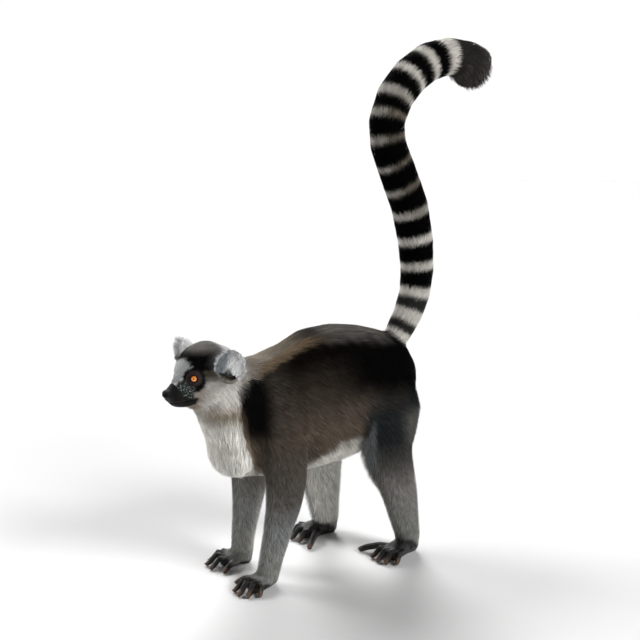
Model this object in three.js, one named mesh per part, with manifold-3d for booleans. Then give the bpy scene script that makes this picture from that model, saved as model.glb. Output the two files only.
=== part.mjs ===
// A ring-tailed lemur standing on all fours with its tail raised, life size, in millimetres with +Z up.
// It faces -Y and its left side is +X. The solids reach out to the tips of the coat.
//
// Each soft form is a loft: a smooth tube through a few named stations. The lofts are joined into one
// body, and regions then claim the named parts from it, so that neighbours meet with a hairline gap.
import * as THREE from "three";
import { mergeVertices } from "three/addons/utils/BufferGeometryUtils.js";
import Module from "manifold-3d";

const wasm = await Module();
wasm.setup();

// ---- driving dimensions --------------------------------------------------------------------------------

const GAP = 0.3; // hairline between neighbouring pieces
const FLOOR = 4; // the level of the soles, in the heights given below

// Along the body, the stations are [x, y, z, half width, height above, depth below].
const TORSO = [
  [0, -136, 236, 39, 69, 66],
  [0, -112, 228, 50, 76, 86],
  [0, -84, 225, 56, 82, 90],
  [0, -50, 227, 60, 87, 93],
  [0, -14, 231, 63, 99, 97],
  [0, 26, 236, 65, 97, 91],
  [0, 60, 238, 64, 89, 88],
  [0, 92, 236, 59, 80, 80],
  [0, 116, 231, 49, 72, 66],
  [0, 134, 225, 35, 56, 48],
];
const HEAD = [
  [0, -228, 267, 9, 10.5, 12.5],
  [0, -220, 268.5, 12, 15, 18.5],
  [0, -211, 271, 16.5, 21, 24.5],
  [0, -201, 275, 23.5, 31, 32.5],
  [0, -187, 280.5, 30.5, 42.5, 37.5],
  [0, -172, 286.5, 33.5, 43, 38],
  [0, -156, 291.5, 32, 39, 34],
  [0, -143, 296, 24, 27, 26],
];
const TAIL = [
  [0, 108, 262, 15, 15],
  [0, 120, 285, 17, 17],
  [0, 136, 308, 19.5, 19.5],
  [0, 153, 333, 21.5, 21.5],
  [0, 165, 362, 23, 23],
  [0, 169, 396, 24.5, 24.5],
  [0, 165, 438, 26, 26],
  [0, 153, 488, 27, 27],
  [0, 131, 534, 26.5, 26.5],
  [0, 113, 572, 25.5, 25.5],
  [0, 110, 603, 25.5, 25.5],
  [0, 124, 637, 26.5, 26.5],
  [0, 150, 666, 27, 27],
  [0, 183, 687, 27.5, 27.5],
  [0, 219, 697, 26.5, 26.5],
  [0, 250, 694, 28.5, 28.5],
  [0, 273, 681, 32, 32],
];
const TAIL_CUTS = [3.6, 6.4, 9, 12]; // the stations where the tail is parted into its lengths

// Down a leg and down the throat, the stations are [x, y, z, half width, reach behind, reach in front].
const BIB = [
  [0, -154, 268, 33, 34, 34],
  [0, -152, 244, 35, 36, 37],
  [0, -147, 218, 39, 36, 31],
  [0, -141, 194, 43, 36, 28],
  [0, -139, 177, 43, 36, 30],
  [0, -133, 164, 38, 32, 27],
];
const FORELEG = [
  [27, -86, 264, 13, 22, 22],
  [36, -88, 238, 19, 33, 32],
  [42, -88, 204, 22, 38, 36],
  [44, -86, 170, 22, 37, 33],
  [44, -84, 138, 20, 33, 29],
  [44, -88, 105, 17.5, 27, 25],
  [44, -97, 72, 15, 21, 21],
  [44, -105, 44, 13.5, 18, 18.5],
  [43, -109, 26, 13.5, 16, 17],
  [42, -110, 12, 13, 12, 12],
];
const HINDLEG = [
  [27, 84, 282, 15, 26, 30],
  [38, 86, 250, 25, 47, 50],
  [46, 84, 212, 28, 57, 54],
  [50, 80, 178, 26, 50, 46],
  [53, 80, 148, 23.5, 38, 39],
  [56, 89, 117, 20.5, 32, 33],
  [59, 97, 86, 18, 28, 29],
  [62, 102, 56, 16, 23, 25],
  [64, 106, 31, 15, 20, 20],
  [65, 107, 14, 14, 14, 14],
];
// Where the legs part: the height of the cut at a station's place, and how it tilts towards the back.
const ELBOW = { at: 4, z: 132, tilt: -0.1 };
const WRIST = { at: 8, z: 29, tilt: 0 };
const KNEE = { at: 4, z: 152, tilt: 0.25 };
const ANKLE = { at: 8, z: 34, tilt: 0.12 };

// A hand lies in its own frame: the wrist over the origin, the fingers to -Y, the thumb on the -X side.
const PALM = [
  [0, 7, 13, 12, 12, 14],
  [0, -6, 12, 14.5, 11, 13],
  [-1, -19, 9.5, 17, 9, 10.5],
  [-1, -28, 8, 16, 7.5, 9],
];
// A digit: [root x, root y], [tip x, tip y], thickness and how high its middle joint arches.
const FINGERS = [
  { root: [-12, -8], tip: [-32, -25], half: 4.6, arch: 9 },
  { root: [-11, -23], tip: [-19, -43], half: 4.2, arch: 14 },
  { root: [-4, -26], tip: [-6, -49], half: 4.4, arch: 15.5 },
  { root: [4, -25], tip: [6, -45], half: 4.4, arch: 15.5 },
  { root: [10, -20], tip: [16, -34], half: 4.1, arch: 14 },
];
const SOLE = [
  [0, 9, 12, 11, 11, 14],
  [-1, -8, 12, 13, 14, 13],
  [0, -26, 10, 16, 12, 11],
  [2, -40, 8, 17, 8, 9],
];
const TOES = [
  { root: [-9, -18], tip: [-45, -50], half: 5.4, arch: 11 },
  { root: [-10, -34], tip: [-18, -54], half: 4.4, arch: 14 },
  { root: [-1, -37], tip: [-3, -59], half: 4.6, arch: 15 },
  { root: [7, -35], tip: [9.5, -56], half: 4.5, arch: 15 },
  { root: [14, -28], tip: [20, -45], half: 4.3, arch: 14 },
];

// How far back and how far out each paw stands, how far back the leg bends halfway down, and the degrees
// that the digits point outwards. A leg takes up its stride and spread between two heights.
const STANCE = {
  fore: {
    stride: { left: 0, right: 5 },
    spread: { left: 0, right: -8 },
    bend: { left: 0, right: -6 },
    turn: { left: 18, right: 28 },
    swing: { top: 165, full: 45 },
  },
  hind: {
    stride: { left: 0, right: -57 },
    spread: { left: 0, right: -9 },
    bend: { left: 0, right: 0 },
    turn: { left: 8, right: 8 },
    swing: { top: 275, full: 95 },
  },
};

const EYE = { at: [15.2, -201, 288], radius: 7 };
const EAR = {
  at: [49.5, -172, 303],
  half: [18, 13, 22],
  turn: 50, // degrees out from facing ahead
  lean: 16, // degrees out from upright
  hollow: 0.74, // the hollow's size, as a share of the ear's
  mouth: 8, // how far the hollow lies in front of the ear's middle
  root: [
    [18, -160, 290, 12, 15],
    [30, -163, 296, 12, 16],
    [41, -167, 301, 11, 16],
  ],
};
const NOSE = { at: [0, -231.5, 270], half: [6.6, 6, 6] };
const MOUTH = { y: -201, z: 261, slope: 0.06 }; // the corner, and how far the line drops towards the chin
const HEAD_TURN = { degrees: 8, about: [0, -150, 0] }; // towards its left, about the neck
const NECK_CUT = { y: -138, z: 252, normal: [0, -0.84, 0.54] };
const CHEST_END = -38;
const RUMP_START = 50;

const COLOURS = {
  back: 0x57504a,
  flank: 0x6b655f,
  limb: 0x85847f,
  white: 0xc9c5bb,
  skin: 0x262321,
  iris: 0xc9690e,
};

// ---- lofts ---------------------------------------------------------------------------------------------

const V = (x, y, z) => new THREE.Vector3(x, y, z);

// The rings of a loft: where each lies along the stations, its share of the full girth, and its push
// beyond the end.
function loftRings(spans, steps, domes, capRings) {
  const count = spans * steps;
  const rings = Array.from({ length: count + 1 }, (_, i) => ({ t: i / count, share: 1, push: 0 }));
  for (const [end, dome] of domes.entries()) {
    const lifts = Array.from({ length: capRings }, (_, i) => (Math.PI / 2) * ((i + 1) / (capRings + 1)));
    const cap = lifts.map((a) => ({ t: end, share: Math.cos(a), push: dome * Math.sin(a) }));
    cap.push({ t: end, share: 0, push: dome });
    if (end === 0) rings.unshift(...cap.map((r) => ({ ...r, push: -r.push })).reverse());
    else rings.push(...cap);
  }
  return rings;
}

// The smooth curve through the middles of a loft.
const spineOf = (stations) => {
  const points = stations.map((s) => V(s[0], s[1], s[2]));
  return new THREE.CatmullRomCurve3(points, false, "catmullrom", 0.5);
};

// A smooth tube through stations, closed by a dome at each end. The lathe's blank gives each ring's
// height as its number, and every point then moves to its place round the spine. grow swells the whole,
// for a cutter.
function loft(stations, { sides = 12, steps = 1, domes, capRings = 2, grow = 0, side = V(1, 0, 0) }) {
  const spine = spineOf(stations);
  const girths = stations.map((s) => V(s[3], s[4], s[5] ?? s[4]).addScalar(grow));
  const girth = new THREE.CatmullRomCurve3(girths, false, "catmullrom", 0.5);
  const rings = loftRings(stations.length - 1, steps, domes.map((d) => d + grow), capRings);
  const blank = new THREE.LatheGeometry(rings.map((r, i) => new THREE.Vector2(r.share, i)), sides);
  const at = blank.getAttribute("position");
  for (let i = 0; i < at.count; i++) {
    const { t, push } = rings[Math.round(at.getY(i))];
    const upward = at.getZ(i);
    const ahead = spine.getTangent(t);
    const flank = side.clone().addScaledVector(ahead, -side.dot(ahead)).normalize();
    const top = flank.clone().cross(ahead);
    const size = girth.getPoint(t);
    const point = spine.getPoint(t).addScaledVector(ahead, push);
    point.addScaledVector(flank, at.getX(i) * size.x);
    point.addScaledVector(top, upward * (upward > 0 ? size.y : size.z));
    at.setXYZ(i, ...point);
  }
  return blank;
}

function ball(half, widthSegments = 16, heightSegments = 12) {
  return new THREE.SphereGeometry(1, widthSegments, heightSegments).scale(...half);
}

// The same shape on the other side of the middle, with its faces still pointing out.
function onSide(geometry, hand) {
  if (hand > 0) return geometry;
  const corners = geometry.index.array;
  for (let i = 0; i < corners.length; i += 3) [corners[i], corners[i + 1]] = [corners[i + 1], corners[i]];
  return geometry.scale(-1, 1, 1);
}

// Moves the surface near a place, on both sides of the middle, fading out smoothly at the reach.
function press(geometry, place, reach, move) {
  const at = geometry.getAttribute("position");
  for (let i = 0; i < at.count; i++) {
    const point = V().fromBufferAttribute(at, i);
    const hand = point.x < 0 ? -1 : 1;
    const away = point.distanceTo(V(hand * place[0], place[1], place[2])) / reach;
    if (away >= 1) continue;
    const share = (1 - away * away) ** 2;
    const across = Math.min(1, Math.abs(point.x) / 3); // the middle itself doesn't part sideways
    point.add(V(hand * move[0] * across, move[1], move[2]).multiplyScalar(share));
    at.setXYZ(i, point.x, point.y, point.z);
  }
  return geometry;
}

// ---- solids and cuts -----------------------------------------------------------------------------------

function solid(geometry) {
  const bare = geometry.clone();
  bare.deleteAttribute("normal");
  bare.deleteAttribute("uv");
  const merged = mergeVertices(bare, 1e-3);
  const corners = merged.index.array;
  const triVerts = [];
  for (let i = 0; i < corners.length; i += 3) {
    const [a, b, c] = corners.slice(i, i + 3);
    if (a !== b && b !== c && c !== a) triVerts.push(a, b, c);
  }
  const vertProperties = new Float32Array(merged.getAttribute("position").array);
  const mesh = new wasm.Mesh({ numProp: 3, vertProperties, triVerts: new Uint32Array(triVerts) });
  return new wasm.Manifold(mesh);
}

const joined = (solids) => solids.reduce((whole, next) => whole.add(next));

// A region is a function of a margin: it gives the solid that it claims, larger by that margin.
const swath = (stations, options) => (margin) =>
  solid(loft(stations, { ...options, grow: options.grow + margin }));
const both = (one, other) => (margin) => one(margin).intersect(other(margin));

// All that lies on the side of a plane to which the normal points.
const WORLD = 2000;
function beyond(place, normal) {
  const ahead = V(...normal).normalize();
  const turn = new THREE.Quaternion().setFromUnitVectors(V(0, 0, 1), ahead);
  return (margin) => {
    const box = new THREE.BoxGeometry(WORLD, WORLD, WORLD);
    box.translate(0, 0, WORLD / 2 - margin);
    box.applyQuaternion(turn);
    return solid(box.translate(...place));
  };
}

// Parts a whole by a region: [what the region claims, the rest], with the gap between them.
const claim = (whole, region) => [whole.intersect(region(-GAP / 2)), whole.subtract(region(GAP / 2))];

const lemur = new THREE.Group();
const headGroup = new THREE.Group();
headGroup.rotation.z = THREE.MathUtils.degToRad(HEAD_TURN.degrees);
headGroup.position.copy(V(...HEAD_TURN.about).sub(V(...HEAD_TURN.about).applyEuler(headGroup.rotation)));
headGroup.updateMatrix();
lemur.add(headGroup);

function node(name, made, color, { roughness = 0.9, group = lemur } = {}) {
  const { vertProperties, triVerts } = made.getMesh();
  const geometry = new THREE.BufferGeometry();
  geometry.setAttribute("position", new THREE.BufferAttribute(new Float32Array(vertProperties), 3));
  geometry.setIndex(new THREE.BufferAttribute(new Uint32Array(triVerts), 1));
  geometry.computeVertexNormals();
  const mesh = new THREE.Mesh(geometry, new THREE.MeshStandardMaterial({ color, roughness, metalness: 0 }));
  mesh.name = name;
  group.add(mesh);
}

// ---- limbs ---------------------------------------------------------------------------------------------

const SIDES = { left: 1, right: -1 };

// A leg's stations on one side, swung by its stride, its spread and its bend.
function legStations({ stations, stride, spread, bend, swing }, side) {
  const half = (swing.top - swing.full) / 2;
  return stations.map(([x, y, z, ...girth]) => {
    const share = 1 - THREE.MathUtils.smoothstep(z, swing.full, swing.top);
    const bent = Math.max(0, 1 - ((z - swing.full - half) / (1.4 * half)) ** 2);
    const back = stride[side] * share + bend[side] * bent;
    return [SIDES[side] * (x + spread[side] * share), y + back, z, ...girth];
  });
}

// A finger or toe arches from its root over its middle joint down to a pad on the floor.
function digit({ root, tip, half, arch }) {
  const along = (share, z, size) => [
    THREE.MathUtils.lerp(root[0], tip[0], share),
    THREE.MathUtils.lerp(root[1], tip[1], share),
    z,
    half * size,
    half * size,
    half * size,
  ];
  const stations = [
    along(0, arch * 0.8, 1.15),
    along(0.45, arch, 1.05),
    along(0.8, half * 1.4, 0.98),
    along(1, half * 0.75, 0.9),
  ];
  const flank = V(root[1] - tip[1], tip[0] - root[0], 0).normalize();
  return loft(stations, { sides: 6, domes: [half, half * 0.8], capRings: 1, side: flank });
}

// A hand or foot: its palm or sole and its digits, turned outwards about the wrist or ankle, and set at
// a place.
function paw(base, digits, hand, [x, y], turn) {
  const palm = loft(base, { sides: 10, domes: [5, 5], capRings: 1, side: V(-1, 0, 0) });
  const turned = [palm, ...digits.map(digit)].map((form) => form.rotateZ(THREE.MathUtils.degToRad(turn)));
  return joined(turned.map((form) => solid(onSide(form, hand).translate(x, y, FLOOR))));
}

// ---- the whole body ------------------------------------------------------------------------------------

const LEGS = {
  fore: { stations: FORELEG, base: PALM, digits: FINGERS, ...STANCE.fore },
  hind: { stations: HINDLEG, base: SOLE, digits: TOES, ...STANCE.hind },
};
const legs = Object.entries(LEGS).flatMap(([kind, leg]) =>
  Object.keys(SIDES).map((side) => ({ kind, side, placed: legStations(leg, side) })),
);
const torso = loft(TORSO, { sides: 18, domes: [20, 20] });
const bib = loft(BIB, { sides: 14, domes: [16, 13] });
const tail = loft(TAIL, { sides: 12, domes: [6, 9], capRings: 1 });
const limbs = legs.map(({ placed }) => loft(placed, { sides: 10, domes: [8, 6], capRings: 1 }));
const body = joined([torso, bib, tail, ...limbs].map(solid));

// ---- tail ----------------------------------------------------------------------------------------------

let [length, trunk] = claim(body, swath(TAIL.slice(1), { sides: 12, domes: [6, 16], grow: 3 }));
const tailSpine = spineOf(TAIL);
for (const [i, name] of ["tail_base", "tail_lower", "tail_middle", "tail_upper"].entries()) {
  const t = TAIL_CUTS[i] / (TAIL.length - 1);
  const cut = beyond(tailSpine.getPoint(t).toArray(), tailSpine.getTangent(t).toArray());
  const [onward, piece] = claim(length, cut);
  node(name, piece, COLOURS.white);
  length = onward;
}
node("tail_tip", length, COLOURS.skin);

// ---- legs ----------------------------------------------------------------------------------------------

// The swath that a leg claims is wider than the leg and reaches out past the flank, so that its seam
// crosses the coat.
const SWATH = { out: 4, grow: 8 };
const PARTS = {
  fore: { names: ["upper_arm", "forearm", "hand"], cuts: [ELBOW, WRIST] },
  hind: { names: ["thigh", "shank", "foot"], cuts: [KNEE, ANKLE] },
};
const aboveFloor = beyond([0, 0, FLOOR], [0, 0, 1])(0);

for (const { kind, side, placed } of legs) {
  const hand = SIDES[side];
  const wide = placed.map(([x, ...others]) => [x + hand * SWATH.out, ...others]);
  const reach = swath(wide, { sides: 8, domes: [8, 30], capRings: 1, grow: SWATH.grow });
  const [leg, remains] = claim(trunk, reach);
  trunk = remains;
  const { base, digits, turn } = LEGS[kind];
  const ends = placed[placed.length - 1];
  const whole = leg.add(paw(base, digits, hand, ends, turn[side])).intersect(aboveFloor);
  const { names, cuts } = PARTS[kind];
  const [first, second] = cuts.map(({ z, tilt, at }) => beyond([0, placed[at][1], z], [0, tilt, 1]));
  const [upper, lower] = claim(whole, first);
  const [shaft, end] = claim(lower, second);
  node(`${names[0]}_${side}`, upper, COLOURS.flank);
  node(`${names[1]}_${side}`, shaft, COLOURS.limb);
  node(`${names[2]}_${side}`, end, COLOURS.skin);
}

// ---- head ----------------------------------------------------------------------------------------------

function skull(grow) {
  const form = loft(HEAD, { sides: 20, steps: 2, domes: [3, 12], capRings: 1, grow });
  press(form, [30, -176, 262], 26, [4, 0, -3]); // cheek ruff
  press(form, [17, -208, 282], 13, [-2, 3, 0]); // the hollow that the eye sits in
  return press(form, [13, -203, 298], 14, [2, -2, 2]); // brow
}

// An ear is a thick cup that opens forwards and outwards, on a root set in the side of the head.
function earBall(hand, half, ahead, faces) {
  const [lean, turn] = [EAR.lean, EAR.turn].map(THREE.MathUtils.degToRad);
  const pose = new THREE.Euler(0, lean, turn, "ZYX");
  const form = ball(half, ...faces).translate(0, -ahead, 0);
  form.applyQuaternion(new THREE.Quaternion().setFromEuler(pose));
  return solid(onSide(form.translate(...EAR.at), hand));
}
function ear(hand, margin) {
  const root = loft(EAR.root, { sides: 10, domes: [4, 4], capRings: 1, grow: margin, side: V(0, -1, 0) });
  return earBall(hand, EAR.half.map((h) => h + margin), 0, [12, 8]).add(solid(onSide(root, hand)));
}
const earHollow = (hand) => earBall(hand, EAR.half.map((h) => h * EAR.hollow), EAR.mouth, [10, 6]);
const eyeball = (hand, margin) => {
  const [x, y, z] = EYE.at;
  return solid(ball(Array(3).fill(EYE.radius + margin), 10, 7).translate(hand * x, y, z));
};
const noseForm = (margin) => solid(ball(NOSE.half.map((h) => h + margin), 10, 6).translate(...NOSE.at));

let head = solid(skull(0)).subtract(noseForm(GAP));
node("nose", noseForm(0), COLOURS.skin, { roughness: 0.5, group: headGroup });
for (const [side, hand] of Object.entries(SIDES)) {
  node(`ear_${side}`, ear(hand, 0).subtract(earHollow(hand)), COLOURS.white, { group: headGroup });
  node(`eye_${side}`, eyeball(hand, 0), COLOURS.iris, { roughness: 0.1, group: headGroup });
  head = head.subtract(ear(hand, GAP)).subtract(eyeball(hand, GAP));
}

// The lower jaw is all below the mouth's line and ahead of its corner.
const corner = [0, MOUTH.y, MOUTH.z];
const belowMouth = beyond(corner, [0, MOUTH.slope, -1]);
const aheadOfCorner = beyond(corner, [0, -1, -0.6]);
const [jaw, cranium] = claim(head, both(belowMouth, aheadOfCorner));
node("lower_jaw", jaw, COLOURS.skin, { group: headGroup });
node("head", cranium, COLOURS.white, { group: headGroup });

// ---- neck and trunk ------------------------------------------------------------------------------------

trunk = trunk.subtract(solid(skull(GAP).applyMatrix4(headGroup.matrix)));
const [neck, barrel] = claim(trunk, beyond([0, NECK_CUT.y, NECK_CUT.z], NECK_CUT.normal));
const [chest, behind] = claim(barrel, beyond([0, CHEST_END, 0], [0, -1, 0]));
const [abdomen, rump] = claim(behind, beyond([0, RUMP_START, 0], [0, -1, 0]));
node("neck", neck, COLOURS.white);
node("chest", chest, COLOURS.back);
node("abdomen", abdomen, COLOURS.flank);
node("rump", rump, COLOURS.back);

// The origin is on the floor, under the middle of the whole.
const bounds = new THREE.Box3().setFromObject(lemur);
const centre = bounds.getCenter(V());
lemur.position.set(-centre.x, -centre.y, -FLOOR);

export default lemur;
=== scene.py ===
"""A ring-tailed lemur on all fours: its skin, face, eyes, nails and coat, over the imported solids.

Shapes are worked out in millimetres, in the animal's own frame: x to its left, y towards the tail, z up, with the
middle of the body on x = 0. ORIGIN is where the row frame's origin lies in it. The head is worked out facing
straight ahead and then turned.
"""
import math

import bpy
import numpy as np
import openvdb as vdb
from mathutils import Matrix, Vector


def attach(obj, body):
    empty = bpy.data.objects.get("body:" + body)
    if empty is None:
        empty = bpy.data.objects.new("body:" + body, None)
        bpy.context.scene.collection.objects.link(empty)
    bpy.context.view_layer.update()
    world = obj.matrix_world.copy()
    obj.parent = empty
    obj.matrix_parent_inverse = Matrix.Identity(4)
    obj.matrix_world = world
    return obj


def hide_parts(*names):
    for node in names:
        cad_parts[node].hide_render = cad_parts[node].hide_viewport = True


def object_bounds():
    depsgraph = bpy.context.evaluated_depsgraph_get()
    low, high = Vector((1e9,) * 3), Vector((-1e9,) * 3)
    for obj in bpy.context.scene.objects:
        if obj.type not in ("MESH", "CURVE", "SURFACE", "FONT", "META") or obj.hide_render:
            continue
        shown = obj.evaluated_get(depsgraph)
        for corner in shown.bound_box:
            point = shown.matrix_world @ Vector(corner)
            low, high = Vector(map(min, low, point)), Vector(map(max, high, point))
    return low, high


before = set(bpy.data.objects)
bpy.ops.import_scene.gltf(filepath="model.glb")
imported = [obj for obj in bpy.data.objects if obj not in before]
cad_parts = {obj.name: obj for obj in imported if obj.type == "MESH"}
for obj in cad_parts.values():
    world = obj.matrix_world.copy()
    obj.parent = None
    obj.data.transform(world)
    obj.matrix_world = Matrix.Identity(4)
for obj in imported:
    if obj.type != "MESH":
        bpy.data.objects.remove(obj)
cad_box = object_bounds()

ORIGIN = np.array([4.5, 26.057, 4.0])
HEAD_TURN = math.radians(8)
HEAD_PIVOT = np.array([0.0, -150.0, 0.0])

PAIRED_LIMBS = ["upper_arm", "forearm", "hand", "thigh", "shank", "foot"]
SIDES = ["left", "right"]
LIMBS = [f"{name}_{side}" for name in PAIRED_LIMBS for side in SIDES]
TAIL_PARTS = ["tail_base", "tail_lower", "tail_middle", "tail_upper", "tail_tip"]
EARS = ["ear_left", "ear_right"]
FLESH = ["head", "lower_jaw", "nose", *EARS, "neck", "chest", "abdomen", "rump", *LIMBS, *TAIL_PARTS]

# How deep the coat is over the skin.
DEPTH = {
    "head": 2.2, "lower_jaw": 0.8, "nose": 0.3, "ear": 0.5, "neck": 6, "chest": 5.5, "abdomen": 5, "rump": 5,
    "upper_arm": 4, "forearm": 2.6, "hand": 0.3, "thigh": 4.5, "shank": 2.8, "foot": 0.3,
    "tail_base": 5.5, "tail_lower": 7.5, "tail_middle": 8, "tail_upper": 8, "tail_tip": 9,
}


def depth_of(node):
    """The coat's depth over a node, left and right alike."""
    return DEPTH.get(node) or DEPTH[node.rsplit("_", 1)[0]]


def smooth(low, high, values):
    """0 below low and 1 above high, with a smooth rise between them. low may be the greater."""
    t = np.clip((values - low) / (high - low), 0, 1)
    return t * t * (3 - 2 * t)


def unit(vectors):
    return vectors / np.maximum(np.linalg.norm(vectors, axis=-1, keepdims=True), 1e-9)


def turn_head(points, angle):
    """points turned about the neck."""
    c, s = math.cos(angle), math.sin(angle)
    x, y, z = (points - HEAD_PIVOT).T
    return np.stack([x * c - y * s, x * s + y * c, z], -1) + HEAD_PIVOT


def straight(points):
    """points in the frame of the head that faces ahead."""
    return turn_head(points, -HEAD_TURN)


def as_it_is(points):
    return points


def mesh_surface(mesh):
    """A mesh's vertices in the animal's frame, in mm, and its triangles."""
    mesh.calc_loop_triangles()
    co = np.empty(len(mesh.vertices) * 3, np.float32)
    mesh.vertices.foreach_get("co", co)
    tris = np.empty(len(mesh.loop_triangles) * 3, np.int32)
    mesh.loop_triangles.foreach_get("vertices", tris)
    return co.reshape(-1, 3).astype(float) * 1000 + ORIGIN, tris.reshape(-1, 3)


# ---- Solids as distances on a lattice ----


class Block:
    """A box of space with a lattice of points in it. Its arrays hold one number for each point."""

    def __init__(self, low, high, step):
        self.step = step
        self.first = np.floor(np.array(low) / step).astype(int)
        self.shape = tuple(np.ceil(np.array(high) / step).astype(int) - self.first + 1)

    def axes(self):
        """x, y and z of the lattice, shaped so that they spread over the block."""
        step = np.float32(self.step)
        spans = [(first + np.arange(n, dtype=np.float32)) * step for first, n in zip(self.first, self.shape)]
        return spans[0][:, None, None], spans[1][None, :, None], spans[2][None, None, :]

    def distance(self, points, faces, reach):
        """The distance to a closed surface, negative inside, true up to reach."""
        kind = "quads" if faces.shape[1] == 4 else "triangles"
        grid = vdb.FloatGrid.createLevelSetFromPolygons(
            np.ascontiguousarray(points / self.step, np.float32),
            **{kind: np.ascontiguousarray(faces, np.uint32)},
            halfWidth=reach / self.step,
        )
        values = np.empty(self.shape, np.float32)
        grid.copyToArray(values, ijk=tuple(int(i) for i in self.first))
        return values * self.step

    def surface(self, values, level=0.0):
        """The surface where values cross level, as points and quads."""
        grid = vdb.FloatGrid(float(values.max()))
        grid.copyFromArray(np.ascontiguousarray(values, np.float32), ijk=tuple(int(i) for i in self.first))
        points, quads = grid.convertToQuads(isovalue=level)
        return points.astype(float) * self.step, quads.astype(int)

    def part(self, low, high):
        """The slices of the block that hold a box."""
        a = np.clip(np.floor(np.array(low) / self.step).astype(int) - self.first, 0, self.shape)
        b = np.clip(np.ceil(np.array(high) / self.step).astype(int) - self.first + 1, 0, self.shape)
        return tuple(slice(i, j) for i, j in zip(a, b))

    def sample(self, values, points):
        """values at points, blended between the lattice's own."""
        place = np.clip(points / self.step - self.first, 0, np.array(self.shape) - 1.001)
        base = place.astype(int)
        share = place - base
        total = np.zeros(len(points))
        for corner in np.ndindex(2, 2, 2):
            weight = np.prod(np.where(corner, share, 1 - share), -1)
            total += weight * values[tuple((base + corner).T)]
        return total


def blur(values, sigma):
    """values smoothed by a bell curve, sigma lattice steps wide."""
    reach = int(math.ceil(2.5 * sigma))
    weights = np.exp(-0.5 * (np.arange(-reach, reach + 1) / sigma) ** 2)
    weights = (weights / weights.sum()).astype(np.float32)
    for axis in range(3):
        padded = np.pad(values, [(reach, reach) if i == axis else (0, 0) for i in range(3)], mode="edge")
        lined = np.moveaxis(padded, axis, 0)
        count = values.shape[axis]
        values = np.moveaxis(sum(w * lined[i : i + count] for i, w in enumerate(weights)), 0, axis)
    return np.ascontiguousarray(values)


HAIRLINE = 0.35 # gaps between the solids are closed up to twice this wide, in mm
MARGIN = 8 # how far a block reaches beyond its solids, in mm


def join_nodes(block, names, reach, to_local=as_it_is):
    """The distance to all the named nodes as one body, with their hairline gaps closed, and which node lies nearest."""
    near = np.full(block.shape, 3 * block.step, np.float32)
    owner = np.zeros(block.shape, np.uint8)
    for number, name in enumerate(names):
        points, faces = mesh_surface(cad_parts[name].data)
        points = to_local(points)
        margin = 4 * block.step
        part = block.part(points.min(0) - margin, points.max(0) + margin)
        if any(s.stop - s.start < 2 for s in part):
            continue
        inner = Block.__new__(Block)
        inner.step = block.step
        inner.first = block.first + [s.start for s in part]
        inner.shape = tuple(s.stop - s.start for s in part)
        found = inner.distance(points, faces, 3 * block.step)
        closer = found < near[part]
        owner[part][closer] = number
        near[part] = np.minimum(near[part], found)
    points, quads = block.surface(near, HAIRLINE)
    return block.distance(points, quads, reach) + HAIRLINE, owner


def soften(block, owner, near, names, amounts, width):
    """amounts of the nodes spread over the block, blended where nodes meet."""
    inside = (near < 0.6 * block.step).astype(np.float32)
    table = np.array([amounts(name) for name in names], np.float32)
    sigma = width / block.step
    return blur(table[owner] * inside, sigma) / np.maximum(blur(inside, sigma), 1e-4)


def round_join(a, b, width):
    """The union of two solids, with a fillet of about that width."""
    h = np.clip(0.5 + 0.5 * (b - a) / width, 0, 1)
    return b + (a - b) * h - width * h * (1 - h)


# ---- The trunk, legs and tail ----

BODY_STEP = 1.6
body_low = np.array(cad_box[0]) * 1000 + ORIGIN - MARGIN
body_high = np.array(cad_box[1]) * 1000 + ORIGIN + MARGIN
body = Block(body_low, body_high, BODY_STEP)
outline, owner = join_nodes(body, FLESH, 17)
outline = blur(outline, 1.3)
UNDER = {"head": 3.8, "lower_jaw": 3.0, "nose": 3.0, "hand": 2.0, "foot": 2.0, "ear": 1.5}


def body_depth(node):
    """The coat's depth, and deeper still where a finer block stands for the node."""
    return UNDER.get(node) or UNDER.get(node.rsplit("_", 1)[0]) or depth_of(node)


body_skin = outline + soften(body, owner, outline, FLESH, body_depth, 6)

# ---- The head ----

EYE = np.array([15.2, -201.0, 288.0])
EYE_RADIUS = 7.0
GAZE = unit(np.array([0.70, -0.71, 0.06]))
GAZE_SIDE = unit(np.cross([0, 0, 1.0], GAZE)) # towards the back of the head
GAZE_UP = np.cross(GAZE, GAZE_SIDE)
LID = 1.1 # its thickness
OPENING = (4.6, 4.1) # half width and half height of the gap between the lids
MOUTH = {"y": -201.0, "z": 261.0, "slope": 0.06} # its corner, and how it rises from there
NOSE = np.array([0.0, -231.5, 270.0])

HEAD_STEP = 0.62
head = Block([-80, -242, 228], [80, -128, 342], HEAD_STEP)
HEAD_NODES = ["head", "lower_jaw", "nose", *EARS, "neck", "chest"]
head_outline, head_owner = join_nodes(head, HEAD_NODES, 9, straight)
x, y, z = head.axes()
across = np.abs(x)


def ball_distance(centre, radius):
    """The distance to a ball, or to a pair of them, one on each side."""
    return np.sqrt((across - centre[0]) ** 2 + (y - centre[1]) ** 2 + (z - centre[2]) ** 2) - radius


head_outside = blur(head_outline, 1.6)
depth = soften(head, head_owner, head_outline, HEAD_NODES, depth_of, 4)
# The coat thins out over the muzzle and round the eyes, and thickens on the cheeks.
bare = smooth(-208, -222, y)
cheek = np.clip(1 - ball_distance([30, -178, 264], 0) / 24, 0, 1)
depth = depth * (1 - 0.85 * bare) + 2.6 * cheek * (1 - bare)
face = head_outside + depth

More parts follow.
